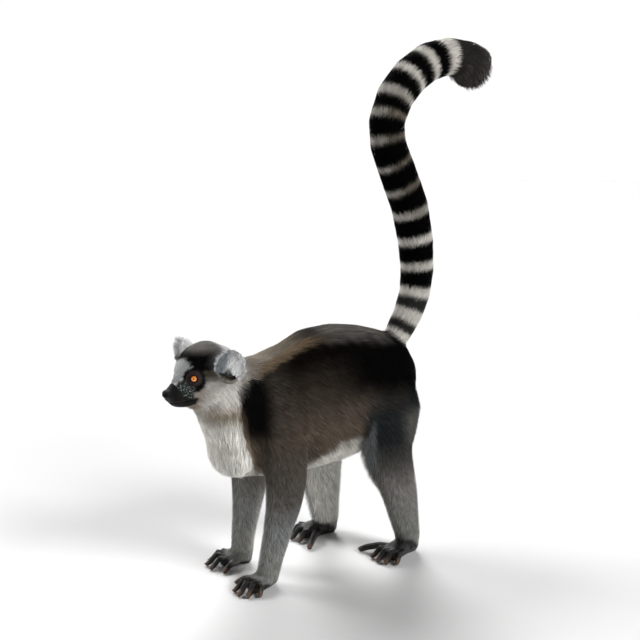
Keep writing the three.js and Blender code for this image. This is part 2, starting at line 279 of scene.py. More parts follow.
# The muzzle: pads that carry the whiskers, a dip behind them and the upper lip over the mouth's line.
face = round_join(face, ball_distance([6.5, -222, 266.5], 8.2), 4)
mouth_z = MOUTH["z"] + MOUTH["slope"] * (y - MOUTH["y"])
mouth_end = smooth(MOUTH["y"] + 3, MOUTH["y"] - 4, y)
lip = np.exp(-((z - mouth_z - 2.2) / 1.8) ** 2) * mouth_end
face = face - 0.7 * lip
line = np.sqrt((z - mouth_z) ** 2 + (face * 0.55) ** 2) - 0.75
face = np.maximum(face, -(line + (1 - mouth_end) * 3))

# The nose: a damp pad with a slit under it, and a nostril on each side.
pad = np.sqrt((across / 1.25) ** 2 + (y - NOSE[1]) ** 2 + ((z - NOSE[2] - 0.4) / 0.92) ** 2) - 5.6
face = round_join(face, pad, 1.6)
slit = np.sqrt(across**2 + np.maximum(y + 234, 0) ** 2) - 0.45
face = np.maximum(face, -np.maximum(slit, np.maximum(z - 269.5, mouth_z - z)))
nostril = np.sqrt(((across - 3.3) / 1.25) ** 2 + ((y + 235.6) / 1.2) ** 2 + (z - 270.6) ** 2) - 1.35
wing = np.sqrt((across - 5.0 - 0.25 * (y + 234)) ** 2 + (z - 269.6 - 0.5 * (across - 5)) ** 2) - 0.55
face = np.maximum(face, -round_join(nostril, np.maximum(wing, y + 231.5), 0.8))

# The eyes: lids drawn over each ball, with an almond gap between them, and creases round about.
side_from = (across - EYE[0], y - EYE[1], z - EYE[2])
from_eye = np.sqrt(side_from[0] ** 2 + side_from[1] ** 2 + side_from[2] ** 2)
u, v, w = (sum(axis[i] * side_from[i] for i in range(3)) for axis in (GAZE_SIDE, GAZE_UP, GAZE))
face = round_join(face, from_eye - EYE_RADIUS - LID, 2.6)
reach_out = np.sqrt(u * u + v * v)
in_front = smooth(1, 4, w)
for radius, strength in [(9.6, 0.55), (7.4, 0.32), (5.9, 0.28)]:
    crease = np.exp(-((reach_out - radius + 0.5 * np.sin(3 * np.arctan2(v, u))) / 0.55) ** 2)
    face = face + strength * crease * in_front
rim = np.exp(-((np.abs(v) / OPENING[1] + (u / OPENING[0]) ** 2 - 1.16) / 0.16) ** 2) * in_front
face = face - 0.35 * rim
face = np.maximum(face, -(from_eye - EYE_RADIUS - 0.05))
gap = (np.abs(v) / OPENING[1] + (u / OPENING[0]) ** 2 - 1) * OPENING[1] * 0.6
face = np.maximum(face, -np.maximum(gap, 2 - w))

# The block ends inside the neck, where the body's own block takes over.
HEAD_END = (-140.0, 236.0) # how far back and down it reaches
head_skin = np.maximum(np.maximum(face, y - HEAD_END[0]), HEAD_END[1] - z)

# ---- Paws ----

PAW_STEP = 0.7
PAW_TOP = {"hand": 40, "foot": 46} # where their blocks end, inside the forearm and the shank
paws = {}
for kind, shaft in [("hand", "forearm"), ("foot", "shank")]:
    for side in SIDES:
        name = f"{kind}_{side}"
        points, _ = mesh_surface(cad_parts[name].data)
        block = Block(points.min(0) - MARGIN, [*(points.max(0)[:2] + MARGIN), PAW_TOP[kind]], PAW_STEP)
        names = [name, f"{shaft}_{side}"]
        near, paw_owner = join_nodes(block, names, 7)
        outside = blur(near, 1.1)
        skin = outside + soften(block, paw_owner, near, names, depth_of, 5)
        paws[name] = (block, np.maximum(skin, block.axes()[2] - (PAW_TOP[kind] - 4)), outside)

# ---- Regions of the body ----

REGIONS = {
    "trunk": ["chest", "abdomen", "rump"],
    "neck": ["neck"],
    "foreleg": ["upper_arm_left", "forearm_left", "upper_arm_right", "forearm_right"],
    "hindleg": ["thigh_left", "shank_left", "thigh_right", "shank_right"],
    "paw": ["hand_left", "hand_right", "foot_left", "foot_right"],
    "tail": TAIL_PARTS,
    "head": ["head", "lower_jaw", "nose"],
    "ear": EARS,
}
ORDER = list(REGIONS)
chart = Block(body_low, body_high, 4.0)
chart_near, chart_owner = join_nodes(chart, FLESH, 12)
chart_weights = [
    soften(chart, chart_owner, chart_near, FLESH, lambda node, names=names: float(node in names), 6)
    for names in REGIONS.values()
]


def region_shares(points):
    """For each point, its share of each region, in ORDER."""
    shares = np.stack([chart.sample(weights, points) for weights in chart_weights], -1)
    return shares / np.maximum(shares.sum(-1, keepdims=True), 1e-6)


def by_region(shares):
    """The same shares, under the regions' names."""
    return dict(zip(ORDER, shares.T))


def blend_regions(functions, points, normals, shares):
    """What the regions' functions give at each point, blended by the shares."""
    total = np.zeros((len(points), 3))
    for number, region in enumerate(ORDER):
        held = shares[:, number] > 0.01
        if held.any():
            total[held] += shares[held, number][:, None] * functions[region](points[held], normals[held])
    return total


# Where each paw stands and how far it is turned outwards, in degrees.
PAWS = {
    "hand_left": ((42, -110), 18), "hand_right": ((-34, -105), 28),
    "foot_left": ((65, 107), 8), "foot_right": ((-56, 50), 8),
}
# The digits of a hand and a foot in their own frame: root, tip and half thickness.
DIGITS = {
    "hand": [
        ((-12, -8), (-32, -25), 4.6), ((-11, -23), (-19, -43), 4.2), ((-4, -26), (-6, -49), 4.4),
        ((4, -25), (6, -45), 4.4), ((10, -20), (16, -34), 4.1),
    ],
    "foot": [
        ((-9, -18), (-45, -50), 5.4), ((-10, -34), (-18, -54), 4.4), ((-1, -37), (-3, -59), 4.6),
        ((7, -35), (9.5, -56), 4.5), ((14, -28), (20, -45), 4.3),
    ],
}
# The middle of each leg, from above.
LEG_MIDDLES = np.array([(44, -92), (-39, -90), (58, 88), (-52, 60)], float)

# The tail's middle line, from inside the rump to its tip, as y and z.
TAIL_LINE = np.array(
    [
        (108, 262), (120, 285), (136, 308), (153, 333), (165, 362), (169, 396), (165, 438), (153, 488), (131, 534),
        (113, 572), (110, 603), (124, 637), (150, 666), (183, 687), (219, 697), (250, 694), (273, 681),
    ],
    float,
)
# The middles and widths of its dark bands, in mm along it from TAIL_OUT.
BANDS = [23, 61, 99, 137.5, 177, 217, 254, 289, 322.5, 351, 383, 417, 453]
BAND_WIDTHS = [15.5, 20.5, 26.5, 27.5, 29, 29, 29, 29, 22.5, 18, 23, 24, 24]
TIP_FROM = 484 # where the dark brush begins
TAIL_OUT = (130, 297) # where the tail leaves the rump


def smooth_line(points, count):
    """count points along a smooth curve through the given ones."""
    before = np.vstack([2 * points[0] - points[1], points, 2 * points[-1] - points[-2]])
    t = np.linspace(0, len(points) - 1, count)
    i = np.minimum(t.astype(int), len(points) - 2)
    f = (t - i)[:, None]
    a, b, c, d = (before[i + k] for k in range(4))
    return 0.5 * (2 * b + (c - a) * f + (2 * a - 5 * b + 4 * c - d) * f**2 + (3 * b - a - 3 * c + d) * f**3)


tail_line = smooth_line(TAIL_LINE, 500)
tail_heading = unit(np.gradient(tail_line, axis=0))
tail_along = np.concatenate([[0], np.cumsum(np.linalg.norm(np.diff(tail_line, axis=0), axis=1))])
tail_along -= tail_along[np.argmin(np.hypot(*(tail_line - TAIL_OUT).T))]


def tail_place(p):
    """How far along the tail each point is, how far above its middle line, and which way the tail runs there."""
    chunks = np.array_split(p, len(p) // 4000 + 1)
    nearest = np.concatenate([np.argmin(((c[:, None, 1:] - tail_line[None]) ** 2).sum(-1), 1) for c in chunks])
    away = p[:, 1:] - tail_line[nearest]
    heading = tail_heading[nearest]
    above = away[:, 1] * heading[:, 0] - away[:, 0] * heading[:, 1]
    return tail_along[nearest] + (away * heading).sum(-1), above, np.column_stack([0 * above, heading])


# An ear's middle, half sizes and how it is turned. It opens towards -Y of its own frame.
EAR = np.array([49.5, -172.0, 303.0])
EAR_HALF = np.array([18.0, 13.0, 22.0])
EAR_TURN = math.radians(50)
EAR_LEAN = math.radians(16)


def turn_about(vectors, axis, angle):
    """vectors turned about one of the three axes."""
    a, b = [(1, 2), (2, 0), (0, 1)][axis]
    c, s = math.cos(angle), math.sin(angle)
    turned = vectors.copy()
    turned[:, a] = vectors[:, a] * c - vectors[:, b] * s
    turned[:, b] = vectors[:, a] * s + vectors[:, b] * c
    return turned


def one_side(p):
    """x, y and z in the frame of the head that faces ahead, its right side folded onto its left."""
    x, y, z = straight(p).T
    return np.abs(x), y, z


def ear_frame(p):
    """Points in the nearer ear's own frame, as shares of its half sizes: across, front to back, and up."""
    q = np.column_stack(one_side(p)) - EAR
    return turn_about(turn_about(q, 2, -EAR_TURN), 1, -EAR_LEAN) / EAR_HALF


def from_ear(e, side):
    """The way back: from one ear's own frame to the animal's."""
    q = turn_about(turn_about(e * EAR_HALF, 1, EAR_LEAN), 2, EAR_TURN) + EAR
    return turn_head(q * (side, 1, 1), HEAD_TURN)


def side_of(paw):
    return 1 if paw.endswith("left") else -1


def from_paw(paw, local):
    """Points given in a paw's own frame, its digits towards -Y and its thumb on the inner side."""
    (x, y), turn = PAWS[paw]
    return turn_about(local, 2, math.radians(turn)) * (side_of(paw), 1, 1) + (x, y, ORIGIN[2])


def bare_paw(p):
    """How bare a paw is at each point: its digits and sole are, and the back of a hand is furry to the knuckles."""
    gaps = np.array([np.hypot(p[:, 0] - x, p[:, 1] - y) for (x, y), _ in PAWS.values()])
    near = gaps.argmin(0)
    places = np.array([middle for middle, _ in PAWS.values()])[near]
    turns = np.radians([turn for _, turn in PAWS.values()])[near]
    side = np.array([side_of(paw) for paw in PAWS])[near]
    ahead = (p[:, 0] - places[:, 0]) * side * np.sin(turns) - (p[:, 1] - places[:, 1]) * np.cos(turns)
    furry = np.where(near < 2, 11 + 8 * smooth(10, 24, ahead), 12 + 17 * smooth(-12, 12, ahead))
    reach = np.where(near < 2, 27, 14)
    return np.maximum(smooth(3, -3, p[:, 2] - furry), smooth(-4, 3, ahead - reach))


DIGIT_TIPS = np.concatenate(
    [from_paw(paw, np.array([(*tip, 0.0) for _, tip, _ in DIGITS[paw.split("_")[0]]])) for paw in PAWS]
)[:, :2]


# ---- Markings ----


def tone(code):
    """A colour written as #rrggbb, in linear light."""
    value = np.array([int(code[i : i + 2], 16) for i in (1, 3, 5)]) / 255
    return np.where(value <= 0.04045, value / 12.92, ((value + 0.055) / 1.055) ** 2.4)


TONES = {
    name: tone(code)
    for name, code in {
        "cream": "#e2dfd7", "ruff": "#f4f2ea", "cheek": "#e6e1db", "throat": "#aba396", "throat_brown": "#7a6d59",
        "chin": "#a99e90", "cap": "#020202", "cap_mid": "#45423f", "cap_top": "#77746f", "cap_back": "#bebebd",
        "brow": "#cacdcb", "bridge": "#959b9b", "ridge_low": "#786e61", "band_painted_shade": "#686157",
        "flank_mid": "#39322b", "temple": "#665f50", "temple_low": "#857f76",
        "patch": "#090909", "mottle": "#1f2221", "fleck": "#8f9894", "lid": "#352b2b", "muzzle": "#0d0c0b",
        "lip": "#242120", "neck_black": "#0a0a0a", "shoulder": "#47413b", "arm": "#5c564f", "elbow": "#625e59",
        "forearm": "#888a8b", "wrist": "#9b9b96", "gold": "#7d6a53", "ridge": "#928a7f", "saddle": "#5e5b56",
        "spine": "#33302d", "flank_top": "#0e0a07", "flank": "#4d453d", "flank_low": "#5c5146", "edge": "#8a7a68",
        "rump": "#030303", "thigh": "#25292a", "thigh_front": "#85898a", "thigh_rear": "#6a6863", "knee": "#4f4c48",
        "shank": "#8a8783", "ankle": "#8c8c86", "inner": "#eceae2", "palm": "#0b0a0a", "finger": "#5a4334",
        "band_white": "#dad6ce", "band_black": "#010101", "band_grey": "#2a2a29", "brush": "#2b2928",
        "brush_tip": "#5a5551", "ear": "#f0f1f0", "ear_hollow_shade": "#8a9196", "ear_hollow_deep_shade": "#020202",
        "nail": "#5d4636", "pupil": "#050404", "iris": "#f08c1c", "iris_deep": "#d8690f", "limbus": "#20110a",
    }.items()
}


def ramp(value, *stops):
    """A colour that goes from tone to tone as value passes the stops, given as (value, tone name)."""
    places = [stop[0] for stop in stops]
    tones = np.array([TONES[stop[1]] for stop in stops])
    return np.stack([np.interp(value, places, tones[:, i]) for i in range(3)], -1)


def plain(p, name):
    return np.tile(TONES[name], (len(p), 1))


def over(under, name, share):
    """under, covered by a tone to a share."""
    return under + (TONES[name] - under) * np.clip(share, 0, 1)[:, None]


def speckle(p, size):
    """An even random number from 0 to 1 for each small cell of space."""
    cell = np.floor(p / size)
    return np.modf(np.abs(np.sin(cell @ (12.9898, 78.233, 37.719)) * 43758.5453))[0]


def waves(p, size):
    """A smooth, irregular number from -1 to 1 that varies over about the given size."""
    q = p * (2 * math.pi / size)
    a = np.sin(q[:, 0] * 0.9 + 1.3 * np.sin(q[:, 1] * 0.53 + 0.7)) + np.sin(q[:, 1] + 1.1 * np.sin(q[:, 2] * 0.61))
    return (a + np.sin(q[:, 2] * 1.1 + 1.2 * np.sin(q[:, 0] * 0.47 + 2.1))) / 3


TRUNK_MIDDLE = 232 # the height of the trunk's middle line

# Lines between markings, as pairs of place and value.
WHITE_EDGE = ((150, -112), (157, -121), (184, -137), (205, -143), (273, -143), (300, -150)) # of the front: z, y
RIDGE_EDGE = ((-115, 37), (-90, 31), (-75, 27), (-50, 22), (0, 24), (66, 27), (100, 24)) # of the back: y, degrees
BELLY_EDGE = ((-50, 160), (-25, 153), (0, 143), (30, 137), (60, 134)) # y, degrees from the top


def line_at(value, line):
    return np.interp(value, *zip(*line))


def trunk_tint(p, n):
    x, y, z = p.T
    from_top = np.degrees(np.arctan2(np.abs(x), z - TRUNK_MIDDLE)) + 3 * waves(p, 21)
    tint = ramp(from_top, (34, "flank_top"), (68, "flank_mid"), (98, "flank"), (124, "flank_low"))
    tint = tint * (1 + 0.16 * waves(p, 27) + 0.1 * waves(p, 8))[:, None]
    belly = line_at(y, BELLY_EDGE)
    tint = over(tint, "cream", smooth(belly - 6, belly + 12, from_top))
    tint = over(tint, "shoulder", smooth(-60, -98, y) * smooth(170, 215, z) * 0.7)
    # The back: a grey-brown ridge with a golden edge, black over the rump.
    ridge = ramp(y, (-112, "ridge"), (-70, "ridge_low"), (-20, "spine"), (105, "spine"), (120, "rump"))
    streak = 0.45 + 0.55 * smooth(-0.5, 0.5, waves(p * (1.4, 0.1, 1.4), 11))
    ridge = over(ridge, "saddle", streak * smooth(-20, 4, y) * smooth(112, 90, y))
    edge = line_at(y, RIDGE_EDGE)
    rear = 5 * smooth(-40, 10, y)
    gold = smooth(edge - 15, edge - 9, from_top) * smooth(5, -35, y) * smooth(-118, -100, y)
    ridge = over(ridge, "flank", gold * 0.55)
    ridge = over(ridge, "gold", gold * speckle(p, 1.4) ** 0.5)
    tint = tint + (ridge - tint) * smooth(edge + 2 + rear, edge - 2 - rear, from_top)[:, None]
    dark = smooth(-42, 46, y) * smooth(edge - 1 - rear, edge + 6 + rear, from_top)
    tint = over(tint, "rump", dark * smooth(222 - 42 * smooth(40, 80, y), 262, z))
    tint = over(tint, "rump", smooth(96, 118, y) * smooth(150, 175, z))
    black = smooth(-92, -114, y - 0.25 * np.minimum(z - 235, 0)) * smooth(edge - 3, edge + 4, from_top)
    black = black * smooth(182, 214, z)
    tint = over(tint, "neck_black", black)
    # The front: pale, with a brown band across the throat.
    white_from = line_at(z, WHITE_EDGE) + 1.5 * waves(p, 9)
    # Painted shade: a brown band along the back edge of the pale front, deepest low down where the bib meets the
    # foreleg.
    tint = over(tint, "edge", smooth(white_from + 11, white_from + 4, y) * smooth(245, 195, z) * 0.75)
    front = ramp(z, (160, "ruff"), (204, "ruff"), (217, "cream"), (226, "throat"), (238, "throat"), (250, "cheek"))
    brown = np.exp(-(((z - 232 - 5 * waves(p, 17)) / 12) ** 2)) * smooth(14, 30, np.abs(x)) * (0.5 + 0.8 * waves(p, 11))
    front = over(front, "throat_brown", brown)
    # Painted shadow: a darker line across the front where the bib's hair overhangs the ruff.
    front = over(front, "throat", np.exp(-(((z - 187) / 3.5) ** 2)) * 0.5)
    front = over(front, "cheek", smooth(16, 4, np.abs(x)) * smooth(250, 238, z) * 0.5)
    share = smooth(white_from + 4, white_from - 3, y) * smooth(300, 282, z)
    return tint + (front - tint) * share[:, None]


def foreleg_tint(p, n):
    x, _, z = p.T
    tint = ramp(z, (38, "wrist"), (76, "forearm"), (112, "elbow"), (150, "arm"), (195, "shoulder"))
    inward = -n[:, 0] * np.sign(x)
    tint = over(tint, "inner", smooth(0.1, 0.8, inward) * smooth(190, 130, z) * 0.3)
    tint = over(tint, "wrist", smooth(0.2, 0.9, -n[:, 1]) * smooth(150, 90, z) * 0.4)
    upper = trunk_tint(p, n)
    return tint + (upper - tint) * smooth(160, 205, z)[:, None]


def hindleg_tint(p, n):
    x, y, z = p.T
    tint = ramp(z, (45, "ankle"), (100, "shank"), (140, "knee"), (170, "thigh"))
    tint = over(tint, "thigh_front", smooth(0.35, 0.9, -n[:, 1]) * smooth(110, 150, z) * smooth(235, 205, z) * 0.8)
    tint = over(tint, "thigh_rear", smooth(80, 108, y) * smooth(150, 170, z) * smooth(222, 196, z) * 0.6)
    inward = -n[:, 0] * np.sign(x)
    tint = over(tint, "inner", smooth(-0.1, 0.5, inward) * smooth(190, 160, z) * 0.95)
    upper = trunk_tint(p, n)
    return tint + (upper - tint) * smooth(205, 250, z)[:, None]


def paw_tint(p, n):
    x, y, _ = p.T
    tint = over(plain(p, "palm"), "finger", 0.15 * smooth(0.1, 0.9, waves(p, 5)))
    from_tip = np.min([np.hypot(x - tx, y - ty) for tx, ty in DIGIT_TIPS], 0)
    tint = over(tint, "finger", smooth(4.5, 1.5, from_tip) * 0.8)
    return over(tint, "wrist", (1 - bare_paw(p)) * 0.9)


def tail_tint(p, n):
    along, above, _ = tail_place(p)
    tint = plain(p, "band_white")
    # Painted shade: the white bands are painted greyer along the middle stretch of the tail, and on its flanks where
    # the surface faces sideways, most of all in that stretch.
    shaded = smooth(150, 235, along) * smooth(395, 335, along)
    tint = over(tint, "band_painted_shade", 0.5 * shaded + 0.6 * smooth(0.45, 1, np.abs(n[:, 0])) * (0.3 + 0.7 * shaded))
    for number, (middle, width) in enumerate(zip(BANDS, BAND_WIDTHS)):
        share = smooth(width / 2 + 1.6, width / 2 - 1.6, np.abs(along + 0.06 * above - middle))
        tint = over(tint, "band_grey" if number < 2 else "band_black", share)
    tint = over(tint, "brush", smooth(TIP_FROM - 3, TIP_FROM + 3, along))
    return over(tint, "rump", smooth(8, -6, along))


MUZZLE_EDGE = ((256, -203), (264, -210.5), (268.5, -218), (283, -224)) # of the bare muzzle: z, y


def beyond_muzzle(y, z):
    """How far ahead of the bare muzzle's edge each point lies, in mm."""
    return line_at(z, MUZZLE_EDGE) - y


def mouth_rim(y, z):
    """How far each point belongs to the bare rim of the mouth."""
    return smooth(-195, -200, y) * smooth(251, 253.5, z) * smooth(265, 262, z)


def from_gaze(away):
    """How far each point lies from the line of sight, and how far along it, given its place from the eye's middle."""
    return np.hypot(away @ GAZE_SIDE, away @ GAZE_UP), away @ GAZE


def head_tint(p, n):
    x, y, z = one_side(p)
    tint = plain(p, "cheek")
    tint = over(tint, "throat", smooth(248, 238, z) * smooth(-196, -176, y))
    tint = over(tint, "throat_brown", 0.65 * smooth(-176, -198, y) * smooth(284, 274, z) * smooth(250, 256, z))
    # Dark brown between eye and ear, and the cap over it, black at its lower edge and grey on top.
    side = smooth(18, 23, x)
    tint = over(tint, "temple_low", side * smooth(279, 286, z) * smooth(-166, -178, y) * 0.8)
    tint = over(tint, "temple", side * smooth(286, 292, z) * smooth(-163, -174, y))
    cap_low = line_at(x, ((0, 312), (5, 311), (14, 306.5), (18, 301), (22, 298))) + 1.2 * waves(p, 7)
    crown = ramp(z, (314, "cap"), (318.5, "cap_mid"), (323, "cap_top"))
    crown = over(crown, "cap_back", smooth(-168, -152, y))
    cap = smooth(cap_low - 2.5, cap_low + 2, z + 6 * smooth(-175, -150, y))
    # The brow and the bridge of the nose.
    brow_low = line_at(x, ((0, 280), (6, 285), (10, 292), (17, 297)))
    brow = smooth(-196, -203, y) * smooth(brow_low - 2, brow_low + 2, z) * smooth(21, 16, x)
    bright = ramp(z, (285, "bridge"), (293, "brow"))
    tint = tint + (bright - tint) * brow[:, None]
    tint = tint + (crown - tint) * cap[:, None]
    # The patch round the eye, and bare mottled skin from there to the muzzle.
    away = np.column_stack([x, y, z]) - EYE
    distance = np.linalg.norm(away, axis=1)
    behind = (0.6 * away[:, 1] - 0.7 * away[:, 2]) / np.maximum(distance, 1)
    radius = 15 + 3.2 * smooth(0.1, 0.8, behind) + 0.8 * waves(p, 6)
    tint = over(tint, "patch", smooth(radius + 1.3, radius - 1.3, distance))
    mottle = smooth(-202, -205, y) * smooth(260, 264, z) * smooth(289, 284, z) * smooth(4, 8, x)
    tint = over(tint, "mottle", mottle)
    tint = over(tint, "fleck", mottle * (speckle(p, 1.4) > 0.8) * smooth(9, 12.5, distance) * 0.6)
    tint = over(tint, "muzzle", smooth(-0.8, 0.8, beyond_muzzle(y, z) + 0.5 * waves(p, 4)))
    tint = over(tint, "muzzle", mouth_rim(y, z))
    tint = over(tint, "chin", smooth(-214, -210, y) * smooth(-186, -192, y) * smooth(252.5, 250.5, z))
    line_z = MOUTH["z"] + MOUTH["slope"] * (y - MOUTH["y"])
    tint = over(tint, "lip", np.exp(-(((z - line_z - 1.8) / 1.1) ** 2)) * smooth(-203, -210, y) * 0.8)
    tint = over(tint, "patch", np.exp(-(((z - line_z) / 0.8) ** 2)) * smooth(-198, -203, y))
    reach_out, ahead = from_gaze(away)
    facing = smooth(-1, 3, ahead)
    tint = over(tint, "lid", smooth(10.4, 9.2, reach_out + 0.6 * waves(p, 3)) * facing)
    tint = over(tint, "patch", smooth(5.9, 4.9, reach_out) * facing * 0.8)
    return over(tint, "patch", smooth(-230.5, -232.5, y) * 0.75)


def ear_inside(e, rim, hollow):
    """How far inside the ear each point lies: 0 at the share of its size that rim gives, 1 at hollow."""
    return smooth(rim, hollow, np.linalg.norm(e, axis=1)) * smooth(0.1, -0.2, e[:, 1])


def ear_tint(p, n):
    e = ear_frame(p)
    inner = ear_inside(e, 1.02, 0.84)
    # Painted shade: only the hollow of the near ear is painted blue-grey, and black low down in it.
    left = smooth(-5, 5, p[:, 0])
    tint = over(plain(p, "ear"), "ear_hollow_shade", inner * smooth(0.2, -0.5, e[:, 0]) * left)
    tint = over(tint, "ear_hollow_deep_shade", inner * smooth(0.2, -0.2, e[:, 2]) * smooth(-0.95, -0.6, e[:, 2]) * left)
    return over(tint, "temple", smooth(-0.35, -0.9, e[:, 2]) * 0.85)


TINTS = {
    "trunk": trunk_tint, "neck": trunk_tint, "foreleg": foreleg_tint, "hindleg": hindleg_tint, "paw": paw_tint,
    "tail": tail_tint, "head": head_tint, "ear": ear_tint,
}


def markings(points, normals, shares):
    """The colour of skin and coat at each point."""
    return blend_regions(TINTS, points, normals, shares)


# ---- Meshes ----


def make_object(name, points, faces):
    """A mesh of triangles or quads, its points given in the animal's frame in mm."""
    mesh = bpy.data.meshes.new(name)
    sides = faces.shape[1]
    mesh.vertices.add(len(points))
    mesh.vertices.foreach_set("co", ((points - ORIGIN) / 1000).astype(np.float32).ravel())
    mesh.loops.add(faces.size)
    mesh.loops.foreach_set("vertex_index", faces.astype(np.int32).ravel())
    mesh.polygons.add(len(faces))
    mesh.polygons.foreach_set("loop_start", np.arange(0, faces.size, sides, dtype=np.int32))
    mesh.polygons.foreach_set("use_smooth", np.ones(len(faces), bool))
    mesh.update(calc_edges=True)
    thing = bpy.data.objects.new(name, mesh)
    bpy.context.scene.collection.objects.link(thing)
    return thing


def paint(thing, name, colours):
    """A colour for each point of a mesh."""
    layer = thing.data.color_attributes.new(name, "FLOAT_COLOR", "POINT")
    rgba = np.ones((len(colours), 4), np.float32)
    rgba[:, :3] = colours
    layer.data.foreach_set("color", rgba.ravel())


def point_normals(points, faces):
    corners = points[faces]
    flat = np.cross(corners[:, 1] - corners[:, 0], corners[:, 2] - corners[:, 0])
    total = np.zeros_like(points)
    for k in range(faces.shape[1]):
        np.add.at(total, faces[:, k], flat)
    return unit(total)


def tube_faces(rings, around):
    """The quads between closed rings of points, set one after another."""
    i, j = np.divmod(np.arange((rings - 1) * around), around)
    k = (j + 1) % around
    a = i * around
    return np.stack([a + j, a + k, a + around + k, a + around + j], 1)


# ---- Skin ----


def thin_out(points, faces, keep):
    """The surface with its triangles thinned to a share of their number, most where it is flattest."""
    thing = make_object("working", points, faces)
    thinning = thing.modifiers.new("thin", "DECIMATE")
    thinning.ratio = keep
    thinned = mesh_surface(thing.evaluated_get(bpy.context.evaluated_depsgraph_get()).to_mesh())
    bpy.data.objects.remove(thing)
    return thinned


def bareness(p, shares):
    """How far the coat thins out to bare skin, from 0 to 1: on the muzzle and lids, in the ears and on the paws."""
    x, y, z = one_side(p)
    reach_out, ahead = from_gaze(np.column_stack([x, y, z]) - EYE)
    lid = smooth(11.3, 10, reach_out) * smooth(-3, 0, ahead)
    muzzle = smooth(-1.5, 1, beyond_muzzle(y, z))
    mottle = smooth(-203, -206, y) * smooth(260, 264, z) * smooth(284, 279, z) * 0.75
    hollow = ear_inside(ear_frame(p), 0.98, 0.88)
    held = by_region(shares)
    bare = held["head"] * np.max([lid, muzzle, mottle, mouth_rim(y, z)], 0) + held["ear"] * hollow
    return np.clip(bare + held["paw"] * bare_paw(p), 0, 1)


class Hide:
    """A skin surface, with the coat's outline over it."""

    def __init__(self, name, block, skin, outline, keep, turn=None):
        self.name, self.block, self.outline = name, block, outline
        self.to_block = straight if turn else as_it_is
        points, faces = block.surface(skin)
        self.points, self.faces = thin_out(turn_head(points, turn) if turn else points, faces, keep)
        self.normals = point_normals(self.points, self.faces)
        self.shares = region_shares(self.points)
        self.tint = markings(self.points, self.normals, self.shares)

    def to_outline(self, points):
        """The distance from the coat's outline, negative inside it."""
        return self.block.sample(self.outline, self.to_block(points))


hides = [
    Hide("skin", body, body_skin, outline, 0.5),
    Hide("skin_head", head, head_skin, head_outside, 0.55, HEAD_TURN),
]
hides += [Hide(f"skin_{name}", block, values, near, 0.5) for name, (block, values, near) in paws.items()]
skins = []
for hide in hides:
    thing = make_object(hide.name, hide.points, hide.faces)
    bare = bareness(hide.points, hide.shares)
    damp = smooth(-227, -230, straight(hide.points)[:, 1]) * 0.3
    damp = np.maximum(damp, bare * by_region(hide.shares)["paw"])
    # Painted shade: where the coat covers it, the skin is painted a quarter darker, as the coat shades it; bare skin
    # keeps its tint.
    paint(thing, "tint", hide.tint * (0.75 + 0.25 * bare)[:, None])
    paint(thing, "finish", np.column_stack([bare, damp, 0 * bare]))
    skins.append(thing)

# ---- Coat ----

rng = np.random.default_rng(7)

# Two layers: short tufts of one length, and longer locks that bend once. For each region: tufts to a square
# millimetre, their length and their width at the root, in mm, how far their middle and their tip are through the depth
# of the coat from the skin to the outline, and how far each draws towards its neighbours' tips.
LAYERS = {
    "short": {
        "trunk": (0.5, 13, 1.05, 0, 0.96, 0.15),
        "neck": (0.3, 12, 0.95, 0, 0.92, 0.3),
        "foreleg": (0.8, 9.5, 0.8, 0, 1.0, 0.12),
        "hindleg": (0.7, 10.5, 0.85, 0, 1.0, 0.12),
        "paw": (1.0, 5, 0.5, 0, 1.0, 0.1),
        "tail": (0.35, 9, 0.9, 0, 0.96, 0.2),
        "head": (1.5, 6.5, 0.5, 0, 1.0, 0.2),
        "ear": (1.2, 6, 0.5, 0, 1.0, 0.2),
    },
    "long": {
        "trunk": (0.15, 20, 1.15, 0.8, 1.0, 0.3),
        "neck": (0.4, 14, 0.95, 0.8, 1.02, 0.5),
        "foreleg": (0.0, 12, 0.9, 0.8, 1.0, 0.3),
        "hindleg": (0.0, 13, 0.9, 0.8, 1.0, 0.3),
        "paw": (0.0, 5, 0.5, 0.8, 1.0, 0.2),
        "tail": (0.5, 12, 0.95, 0.9, 1.02, 0.3),
        "head": (0.35, 9, 0.6, 0.8, 1.03, 0.4),
        "ear": (0.5, 7, 0.5, 0.9, 1.03, 0.4),
    },
}
RINGS = {"short": 1, "long": 2}
GRIZZLE = {
    "trunk": 0.15, "neck": 0.14, "foreleg": 0.4, "hindleg": 0.38, "paw": 0.35, "tail": 0.12, "head": 0.2, "ear": 0.16,
}
RECIPES = {layer: np.array([recipe[region] for region in ORDER]) for layer, recipe in LAYERS.items()}
GRIZZLES = np.array([GRIZZLE[region] for region in ORDER])


def trunk_flow(p, n):
    """Back along the body, and down the flanks; straight down over the chest."""
    x, y, z = p.T
    side = np.abs(n[:, 0])
    front = smooth(-108, -140, y) * smooth(296, 262, z)
    back = np.column_stack([0 * x, 0 * x + 1, -0.18 - 0.75 * side - 0.8 * smooth(200, 160, z) * smooth(-60, 0, y)])
    down = np.column_stack([0.12 * np.sign(x), 0.12 + 0.3 * waves(p, 34), 0 * x - 1])
    return back * (1 - front)[:, None] + down * front[:, None]


def leg_flow(p, n):
    """As the flank's at the top of the leg, then straight down it."""
    down = smooth(225, 150, p[:, 2])[:, None]
    return trunk_flow(p, n) * (1 - down) + np.array([0, 0.12, -1]) * down


def paw_flow(p, n):
    return np.tile([0.0, -0.5, -1.0], (len(p), 1))


def tail_flow(p, n):
    """Along the tail, and fanned out and down at its tip."""
    along, _, heading = tail_place(p)
    fan = smooth(TIP_FROM + 12, TIP_FROM + 38, along)[:, None]
    return heading * (1 - 0.45 * fan) + np.array([0, 0.25, -0.75]) * fan


